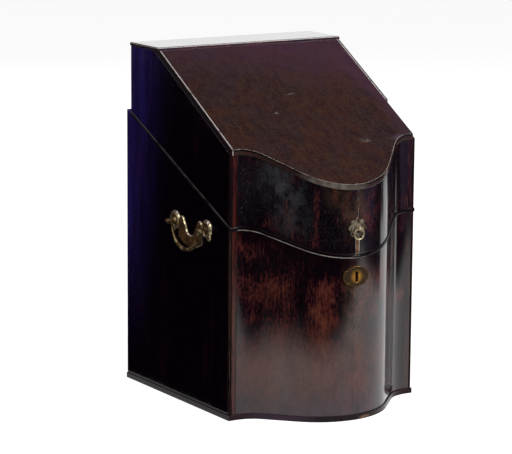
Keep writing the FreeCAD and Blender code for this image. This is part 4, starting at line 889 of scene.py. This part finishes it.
class DECANTER_OT_stringing(bpy.types.Operator):
    """Finish the stringing of the corners and the beads of the lid"""
    bl_idname = "decanter.stringing"
    bl_label = "Stringing and beads"

    def execute(self, context):
        wood = context.scene.decanter_wood
        assign(stringing("lid_stringing", wood, wood.worn, wear=0.1), *both("lid_%s_corner_string"))
        assign(stringing("stringing", wood, wood.arris, wear=0.8), *both("%s_corner_string"))
        # The slope's strings get a painted highlight along their inner half.
        slope = stringing("slope_stringing", wood, wood.rubbed, wear=1.0, painted_highlight_inside=True)
        assign(slope, *both("slope_%s_string"))
        front = bead_with_painted_highlight("front_bead_wood", wood, highlight_share=0.9, highlight_end=5 * MM, low=-1 * MM, high=1 * MM)
        assign(front, "lid_front_bead")
        sides = bead_with_painted_highlight("side_bead_wood", wood, highlight_share=0.2, highlight_end=0.0, low=2.4 * MM, high=6 * MM)
        assign(sides, *both("lid_%s_bead"))
        return {"FINISHED"}


class DECANTER_OT_linings(bpy.types.Operator):
    """Cover the linings and dividers with baize"""
    bl_idname = "decanter.linings"
    bl_label = "Linings and dividers"

    def execute(self, context):
        cloth = baize("baize", context.scene.decanter_baize)
        assign(cloth, "floor_lining", "front_lining", "back_lining", *both("%s_lining"),
               "long_divider", "cross_divider")
        return {"FINISHED"}


class DECANTER_OT_handles(bpy.types.Operator):
    """Finish the brass handles of both sides"""
    bl_idname = "decanter.handles"
    bl_label = "Side handles"

    def execute(self, context):
        metal = context.scene.decanter_metal
        plate = brass("plate_brass", metal, metal.pale, metal.umber, 0.95, bevel=True, crust=0.9)
        assign(plate, *both("%s_handle_plate"))
        aged = brass("aged_brass", metal, metal.brass, metal.umber, 0.58, crust=0.5)
        assign(aged, *both("%s_handle_posts"), *both("%s_handle_nuts"), *both("%s_bail"))
        return {"FINISHED"}


class DECANTER_OT_pull(bpy.types.Operator):
    """Finish the ring pull and the escutcheon"""
    bl_idname = "decanter.pull"
    bl_label = "Ring pull and escutcheon"

    def execute(self, context):
        metal = context.scene.decanter_metal
        assign(brass("ring_brass", metal, metal.pale, metal.olive, 0.2), "pull_ring", "ring_post")
        assign(brass("petal_brass", metal, metal.petal, metal.olive, 0.60, crust=0.5), "ring_plate")
        low, high = (Vector(corner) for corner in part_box("escutcheon"))
        middle = tuple((low + high) / 2)
        # The escutcheon gets painted shade round the keyhole, widening its dark opening.
        rubbed = brass("escutcheon_brass", metal, metal.gold, metal.olive, 0.9, crust=0.95,
                       golden=(middle, KEYHOLE_GOLD), painted_shade=(middle, KEYHOLE_SHADE))
        assign(rubbed, "escutcheon")
        return {"FINISHED"}


class DECANTER_OT_lock(bpy.types.Operator):
    """Finish the lock and its link plate"""
    bl_idname = "decanter.lock"
    bl_label = "Lock"

    def execute(self, context):
        metal = context.scene.decanter_metal
        assign(old_steel("lock_steel", metal), "lock_case", "lock_cap", "lock_bolt", "key_pin")
        assign(brass("lock_brass", metal, metal.brass, metal.olive, 0.4), "lock_plate", "lock_plate_screws",
               "link_plate", "link_screws")
        return {"FINISHED"}


class DECANTER_OT_hinges(bpy.types.Operator):
    """Finish the butt hinges and their screws"""
    bl_idname = "decanter.hinges"
    bl_label = "Hinges"

    def execute(self, context):
        metal = context.scene.decanter_metal
        worn = brass("hinge_brass", metal, metal.brass, metal.olive, 0.45)
        assign(worn, *both("%s_hinge_body_leaf"), *both("%s_hinge_lid_leaf"), "hinge_pins",
               "hinge_body_screws", "hinge_lid_screws")
        return {"FINISHED"}


def seen_rays(finish):
    """1 for rays of the camera, and for reflected and transmitted ones."""
    camera = finish.node("ShaderNodeLightPath", out="Is Camera Ray")
    return camera.most(camera.output("Is Glossy Ray")).most(camera.output("Is Transmission Ray"))


def sheet(name, left, right, front, back, height=0.0):
    """Level rectangle of the stage."""
    mesh = bpy.data.meshes.new(name)
    corners = [(left, front, height), (right, front, height), (right, back, height), (left, back, height)]
    mesh.from_pydata(corners, [], [(0, 1, 2, 3)])
    card = bpy.data.objects.new(name, mesh)
    bpy.context.collection.objects.link(card)
    return card


def mirrored_card(name, left, right, front, back, shade):
    """Card on the floor that only reflections see; shade gives its cover and its shader."""
    card = sheet(name, left, right, front, back, CARD_LIFT)
    finish = Finish(name)
    cover, shader = shade(finish)
    clear = finish.node("ShaderNodeBsdfTransparent")
    card.data.materials.append(finish.close(finish.blended(cover, clear, shader)))
    card.visible_camera = False
    card.visible_diffuse = False
    card.visible_shadow = False


def front_shade(finish):
    """Dark floor outside the pool of light in front of the box, lighter far to the right."""
    across, back, _ = finish.parts()
    near = finish.step(back + across * POOL_SLANT + POOL_FRONT, *POOL_EDGE)
    left = 1.0 - finish.step(across, *POOL_RIGHT)
    dusk = finish.step(across, *DUSK_ACROSS) * finish.step(0.0 - back, *DUSK_AHEAD)
    shader = finish.blended(dusk, finish.glowing(DARK_FLOOR), finish.glowing(DUSKY_FLOOR))
    return 1.0 - near * left, shader


def far_floor(finish, across, back):
    """Share of dark floor far from the box."""
    away = (across / FAR_ACROSS) ** 2.0 + (back / FAR_BACK) ** 2.0
    return finish.step(away, *FAR_EDGE)


def left_shade(finish):
    """Dark strip of floor that the left side mirrors, and dark floor far from the box."""
    across, back, _ = finish.parts()
    strip = across - CAD_BOX[0][ACROSS] + back / STRIP_SLANT
    cover = 1.0 - finish.step(strip, *STRIP_EDGE)
    return cover.most(far_floor(finish, across, back)), finish.glowing(LEFT_FLOOR)


def back_shade(finish):
    """Dark floor far behind the box and far to its right, but for a pale strip that the lid mirrors."""
    across, back, _ = finish.parts()
    strip = finish.step(back, *PALE_FRONT) * (1.0 - finish.step(back, *PALE_BACK))
    strip = strip * (1.0 - finish.step(across, *PALE_RIGHT))
    return far_floor(finish, across, back) * (1.0 - strip), finish.glowing(DARK_FLOOR)


def soft_light(name, centre, wide, level, colour=WHITE):
    """Square light that gives about the level, as a share of plain daylight, at the box."""
    aim = Vector(LIGHT_AIM) - Vector(centre)
    lamp = bpy.data.lights.new(name, "AREA")
    lamp.shape = "SQUARE"
    lamp.size = wide
    lamp.energy = level * (math.pi * aim.length) ** 2
    lamp.color = colour
    light = bpy.data.objects.new(name, lamp)
    bpy.context.collection.objects.link(light)
    light.location = centre
    light.rotation_euler = aim.to_track_quat("-Z", "Y").to_euler()
    return light


class DECANTER_OT_stage(bpy.types.Operator):
    """Set the floor, the light and the camera"""
    bl_idname = "decanter.stage"
    bl_label = "Studio stage"

    def execute(self, context):
        scene = context.scene
        stage = scene.decanter_stage
        self.floor()
        self.world(scene, stage)
        self.lights(stage)
        self.cards()
        self.camera(scene, stage)
        scene.view_settings.view_transform = "Standard"
        return {"FINISHED"}

    def floor(self):
        """Pale floor that takes the shadow of the box and looks almost white."""
        floor = sheet("floor", -FLOOR_REACH, FLOOR_REACH, -FLOOR_REACH, FLOOR_REACH)
        finish = Finish("pale_floor")
        glow = finish.mix(seen_rays(finish), BLACK, FLOOR_SEEN)
        pale = finish.surface(Base_Color=FLOOR_GREY, Roughness=0.9, Emission_Color=glow,
                              Emission_Strength=1.0, Specular_IOR_Level=0.0)
        floor.data.materials.append(pale)

    def world(self, scene, stage):
        """White backdrop to the eye and to reflections, with a dim ceiling, and a level of room light."""
        scene.world = bpy.data.worlds.new("studio")
        finish = Finish("studio", scene.world)
        up = finish.parts()[UP]
        camera = finish.node("ShaderNodeLightPath", out="Is Camera Ray")
        ceiling = finish.step(up, *CEILING_EDGE) * (1.0 - camera)
        backdrop = finish.mix(ceiling, WHITE, DIM_CEILING)
        room = tuple(stage.fill * part for part in ROOM_TINT)
        colour = finish.mix(seen_rays(finish), room, backdrop)
        finish.close(finish.node("ShaderNodeBackground", sockets={"Color": colour, "Strength": 1.0}))

    def lights(self, stage):
        """Key light, soft side light, a cool light for reflections alone and a light from behind."""
        soft_light("key_light", KEY_PLACE, BROAD_LIGHT, stage.key)
        soft_light("side_light", SIDE_PLACE, BROAD_LIGHT, stage.side)
        rim = soft_light("rim_light", RIM_PLACE, RIM_WIDE, stage.rim, RIM_COLOUR)
        rim.visible_diffuse = False
        rear = soft_light("rear_light", REAR_PLACE, BROAD_LIGHT, stage.rear)
        rear.visible_glossy = False

    def cards(self):
        """Dark floor that the polish mirrors, to the left of the box, behind it and in front of it."""
        side = CAD_BOX[0][ACROSS]
        mirrored_card("left_card", -CARD_REACH, side, CARD_SPLIT, CARD_REACH, left_shade)
        mirrored_card("back_card", side, CARD_REACH, CARD_SPLIT, CARD_REACH, back_shade)
        mirrored_card("front_card", -CARD_REACH, CARD_REACH, -CARD_REACH, CARD_SPLIT, front_shade)

    def camera(self, scene, stage):
        """Camera turned by its yaw, pitch and roll."""
        across = Vector((math.cos(stage.yaw), -math.sin(stage.yaw), 0.0))
        ahead = Vector((math.sin(stage.yaw), math.cos(stage.yaw), 0.0))
        rise = Vector((0.0, 0.0, 1.0))
        view = ahead * math.cos(stage.pitch) - rise * math.sin(stage.pitch)
        top = rise * math.cos(stage.pitch) + ahead * math.sin(stage.pitch)
        right = across * math.cos(stage.roll) + top * math.sin(stage.roll)
        head = top * math.cos(stage.roll) - across * math.sin(stage.roll)
        lens = bpy.data.cameras.new("camera")
        lens.sensor_fit = "HORIZONTAL"
        lens.sensor_width = SENSOR_WIDE
        lens.lens = lens.sensor_width * stage.focal
        lens.clip_end = VIEW_END
        camera = bpy.data.objects.new("camera", lens)
        bpy.context.collection.objects.link(camera)
        turn = Matrix((right, head, -view)).transposed().to_4x4()
        camera.matrix_world = Matrix.Translation(Vector(stage.camera)) @ turn
        scene.camera = camera


OPERATORS = (
    DECANTER_OT_carcass,
    DECANTER_OT_lid,
    DECANTER_OT_stringing,
    DECANTER_OT_linings,
    DECANTER_OT_handles,
    DECANTER_OT_pull,
    DECANTER_OT_lock,
    DECANTER_OT_hinges,
    DECANTER_OT_stage,
)
SETTINGS = {
    "decanter_wood": DecanterWood,
    "decanter_metal": DecanterMetal,
    "decanter_baize": DecanterBaize,
    "decanter_stage": DecanterStage,
}


class DECANTER_PT_panel(bpy.types.Panel):
    """Lists the steps that dress the decanter box"""
    bl_idname = "DECANTER_PT_panel"
    bl_label = "Decanter box"
    bl_space_type = "VIEW_3D"
    bl_region_type = "UI"
    bl_category = "Decanter box"

    def draw(self, context):
        for operator in OPERATORS:
            self.layout.operator(operator.bl_idname)


def register():
    """Register the settings, the operators and the panel."""
    for group in SETTINGS.values():
        bpy.utils.register_class(group)
    for operator in OPERATORS:
        bpy.utils.register_class(operator)
    bpy.utils.register_class(DECANTER_PT_panel)
    for name, group in SETTINGS.items():
        setattr(bpy.types.Scene, name, bpy.props.PointerProperty(type=group))


def unregister():
    """Take away what register added."""
    for name in SETTINGS:
        delattr(bpy.types.Scene, name)
    bpy.utils.unregister_class(DECANTER_PT_panel)
    for operator in reversed(OPERATORS):
        bpy.utils.unregister_class(operator)
    for group in SETTINGS.values():
        bpy.utils.unregister_class(group)


def main():
    """Dress the box step by step."""
    register()
    for operator in OPERATORS:
        step = operator.bl_idname.split(".")[1]
        getattr(bpy.ops.decanter, step)()


if __name__ == "__main__":
    main()
